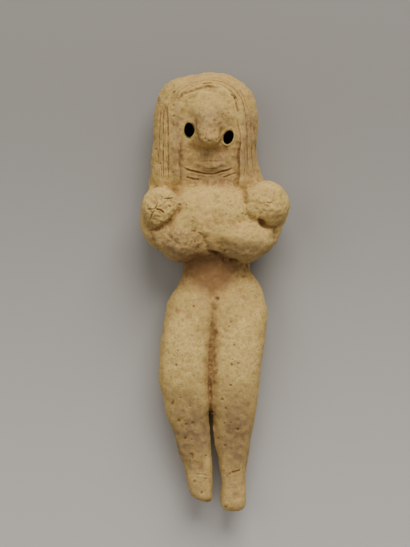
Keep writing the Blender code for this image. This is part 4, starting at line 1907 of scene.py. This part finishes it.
@dataclass(frozen=True)
class FiredClay:
    """Low-fired buff earthenware, worn pale on its ridges and with earth left in its hollows, with
    painted shade in its hollows and creases and on sides turned from the light, and painted highlights on
    some rounded fronts.

    The clouds are the patches of each colour, from the firing's broad tones to the clay's crumb.
    Each grit has a noise's size, detail and roughness, and its share of the bumps.
    """

    buff: Colour = (0.49, 0.34, 0.118, 1.0)
    yellow: Colour = (0.48, 0.36, 0.112, 1.0)
    pink: Colour = (0.51, 0.32, 0.12, 1.0)
    straw: Colour = (0.50, 0.39, 0.095, 1.0)
    rose: Colour = (0.53, 0.33, 0.155, 1.0)
    # The pale tone of worn clay, also laid on as painted highlights.
    pale_tone: Colour = (0.69, 0.517, 0.193, 1.0)
    # Brown for earth, and also for painted shade in hollows, creases and under overhangs.
    earth_and_shade: Colour = (0.21, 0.108, 0.04, 1.0)
    # Grey-brown for smoke stains, and also for painted shade on undersides and on slopes turned from the
    # light.
    smoke_and_shade: Colour = (0.225, 0.15, 0.082, 1.0)
    # Near black, painted into the eye holes as their shade.
    hole_shade_colour: Colour = (0.012, 0.009, 0.006, 1.0)
    speck: Colour = (0.22, 0.14, 0.05, 1.0)
    firing: Cloud = Cloud(0.0065, 4.0, 0.6, 0.34, 0.66)
    plain: Cloud = Cloud(0.0028, 3.0, 0.55, 0.35, 0.65, 0.6)
    wear: Cloud = Cloud(0.0035, 4.0, 0.65, 0.45, 0.75, 0.35)
    dusk: Cloud = Cloud(0.0016, 4.0, 0.7, 0.5, 0.8, 0.3)
    tinge: Cloud = Cloud(0.0008, 2.0, 0.6, 0.42, 0.6, 0.8)
    rosy: Cloud = Cloud(0.0005, 2.0, 0.55, 0.4, 0.6)
    crumb: Cloud = Cloud(0.0006, 3.0, 0.7, 0.48, 0.72, 0.6)
    fleck: Cloud = Cloud(0.0009, 4.0, 0.7, 0.5, 0.73, 0.62)
    greying: Cloud = Cloud(0.0022, 4.0, 0.6, 0.35, 0.65, 1.0, 0.5)
    earth_and_shade_patches: Cloud = Cloud(0.0013, 4.0, 0.65, 0.3, 0.65, 1.0, 0.6)
    matt: Cloud = Cloud(0.0012, 3.0, 0.55, 0.3, 0.7, 0.97, 0.8)
    grit: tuple[tuple[float, float, float, float], ...] = (
        (0.00045, 3.0, 0.6, 0.7), (0.00016, 2.0, 0.55, 0.3),
    )
    pale_share: float = 0.7
    speck_apart: float = 0.0011
    speck_sizes: tuple[float, float, float] = (0.55, 1.0, 0.34)
    speck_edge: float = 0.1
    speck_strength: float = 0.7
    speck_by_smoke_and_shade: tuple[float, float] = (0.8, 0.55)
    specular: float = 0.25
    bump_strength: float = 0.95
    bump_height: float = 0.00013

    def colour(self, board: NodeBoard) -> bpy.types.NodeSocket:
        """The clay's colour from its firing, its wear and its stains, and from painted shade and
        highlights.

        Args:
            board: The material's nodes.

        Returns:
            The colour.
        """
        body = board.mix(board.cloud(self.firing), self.yellow, self.pink)
        body = board.mix(board.cloud(self.plain), body, self.buff)
        # The pale amounts are worn ridges and also painted highlights.
        rubbed_and_highlit = board.sum("MULTIPLY", board.tint_amount("pale"), self.pale_share)
        body = board.mix(board.sum("ADD", board.cloud(self.wear), rubbed_and_highlit), body, self.pale_tone)
        body = board.mix(board.cloud(self.dusk), body, self.speck)
        tinge = board.mix(board.cloud(self.rosy), self.straw, self.rose)
        body = board.mix(board.cloud(self.tinge), body, tinge)
        body = board.mix(board.cloud(self.crumb), body, self.speck)
        body = board.mix(board.cloud(self.fleck), body, self.pale_tone)
        body = board.mix(self.specks(board), body, self.speck)
        # The smoke amounts are grey stain and also painted shade.
        greyed_and_shaded = board.sum("MULTIPLY", board.tint_amount("smoke_and_shade"), board.cloud(self.greying))
        body = board.mix(greyed_and_shaded, body, self.smoke_and_shade)
        # The earth amounts hold earth in grooves and hollows, and also painted shade in hollows, creases
        # and under overhangs.
        soiled_and_shaded = board.sum("MULTIPLY", board.tint_amount("earth_and_shade"), board.cloud(self.earth_and_shade_patches))
        body = board.mix(soiled_and_shaded, body, self.earth_and_shade)
        # Painted shade: the eye holes go near black.
        return board.mix(board.tint_amount("painted_hole_shade"), body, self.hole_shade_colour)

    def specks(self, board: NodeBoard) -> bpy.types.NodeSocket:
        """The dark specks of grit, stronger where the smoke stain and the painted shade lie.

        Args:
            board: The material's nodes.

        Returns:
            The amounts.
        """
        distance, own = board.spots(self.speck_apart)
        low, high, largest = self.speck_sizes
        size = board.ramp(own, low, high, 0.0, largest)
        near = board.sum("SUBTRACT", size, distance)
        speck = board.ramp(near, 0.0, self.speck_edge, 0.0, self.speck_strength)
        tinted_full_at, untinted_strength = self.speck_by_smoke_and_shade
        return board.sum("MULTIPLY", speck, board.ramp(board.tint_amount("smoke_and_shade"), 0.0, tinted_full_at, untinted_strength, 1.0))

    def material(self) -> bpy.types.Material:
        """The finish as a node material."""
        board = NodeBoard("fired_clay")
        shader = board.shader
        board.feed(shader.inputs["Base Color"], self.colour(board))
        board.feed(shader.inputs["Roughness"], board.cloud(self.matt))
        board.feed(shader.inputs["Specular IOR Level"], self.specular)
        coarse, fine = (
            board.sum("MULTIPLY", board.noise(size, detail, roughness), share)
            for size, detail, roughness, share in self.grit
        )
        bump = board.add("ShaderNodeBump")
        board.feed(bump.inputs["Strength"], self.bump_strength)
        board.feed(bump.inputs["Distance"], self.bump_height)
        board.feed(bump.inputs["Height"], board.sum("ADD", coarse, fine))
        board.feed(shader.inputs["Normal"], bump.outputs["Normal"])
        return board.material


@dataclass(frozen=True)
class FloorPaper:
    """Plain pale paper, a little darker towards the figure's head, where painted shade stands for the
    light falling off.
    """

    near: Colour = (0.472, 0.476, 0.488, 1.0)
    # The darker far colour is painted shade.
    far: Colour = (0.245, 0.243, 0.243, 1.0)
    near_end: float = -0.09
    far_end: float = 0.065
    roughness: float = 0.9

    def material(self) -> bpy.types.Material:
        """The finish as a node material."""
        board = NodeBoard("floor_paper")
        along = board.add("ShaderNodeSeparateXYZ")
        board.feed(along.inputs["Vector"], board.place)
        share = board.ramp(along.outputs["Y"], self.near_end, self.far_end)
        board.feed(board.shader.inputs["Base Color"], board.mix(share, self.near, self.far))
        board.feed(board.shader.inputs["Roughness"], self.roughness)
        return board.material


@dataclass(frozen=True)
class Lamp:
    """A soft square light: its name, where it hangs, its width in metres and its power in watts."""

    name: str
    place: tuple[float, float, float]
    width: float
    power: float

    def hang(self, aim: tuple[float, float, float], colour: Tint) -> None:
        """Hangs the lamp.

        Args:
            aim: The point that it faces.
            colour: Its colour.
        """
        bpy.ops.object.light_add(type="AREA", location=self.place)
        lamp = bpy.context.object
        lamp.name = self.name
        lamp.data.size = self.width
        lamp.data.energy = self.power
        lamp.data.color = colour
        away = Vector(aim) - Vector(self.place)
        lamp.rotation_euler = away.to_track_quat("-Z", "Y").to_euler()


@dataclass
class Studio:
    """A plain pale floor, soft lights and a camera that looks straight down on the figure."""

    floor_size: float = 1.6
    view_middle: tuple[float, float] = (-0.0027, 0.00505)
    view_height: float = 0.14918
    view_level: float = 0.010
    lens: float = 120.0
    sensor: float = 36.0
    view_reach: float = 10.0
    floor_parts: int = 8
    warm: Tint = (1.0, 0.93, 0.82)
    room_light: float = 0.38
    light_aim: tuple[float, float, float] = (0.0, 0.01, 0.0)
    lamps: tuple[Lamp, ...] = (
        Lamp("key_light", (0.20, 0.78, 0.64), 0.75, 13.8),
        Lamp("fill_light", (-0.55, 0.25, 0.75), 0.6, 1.9),
    )

    def floor(self) -> None:
        """The surface that the figure lies on."""
        deselect_all()
        parts = self.floor_parts
        bpy.ops.mesh.primitive_grid_add(x_subdivisions=parts, y_subdivisions=parts, size=self.floor_size)
        floor = bpy.context.object
        floor.name = "floor"
        floor.data.materials.append(FloorPaper().material())

    def camera(self) -> None:
        """The camera, with the picture's long side along the figure."""
        away = self.view_height * self.lens / self.sensor
        x, y = self.view_middle
        bpy.ops.object.camera_add(location=(x, y, self.view_level + away), rotation=(0, 0, 0))
        camera = bpy.context.object
        camera.data.lens = self.lens
        camera.data.sensor_fit = "VERTICAL"
        camera.data.sensor_height = self.sensor
        camera.data.clip_end = self.view_reach
        bpy.context.scene.camera = camera

    def build(self) -> None:
        """Everything round the figure."""
        self.floor()
        self.camera()
        for lamp in self.lamps:
            lamp.hang(self.light_aim, self.warm)
        world = bpy.data.worlds.new("room")
        world.use_nodes = True
        backdrop = world.node_tree.nodes["Background"]
        backdrop.inputs["Color"].default_value = (*self.warm, 1.0)
        backdrop.inputs["Strength"].default_value = self.room_light
        bpy.context.scene.world = world


def main() -> None:
    """Builds the figure and the studio round it."""
    Studio().build()
    piece = Figurine().build()
    log.info("%s: %d triangles", piece.name, len(piece.data.polygons))


if __name__ == "__main__":
    logging.basicConfig(level=logging.INFO, format="%(name)s: %(message)s")
    main()
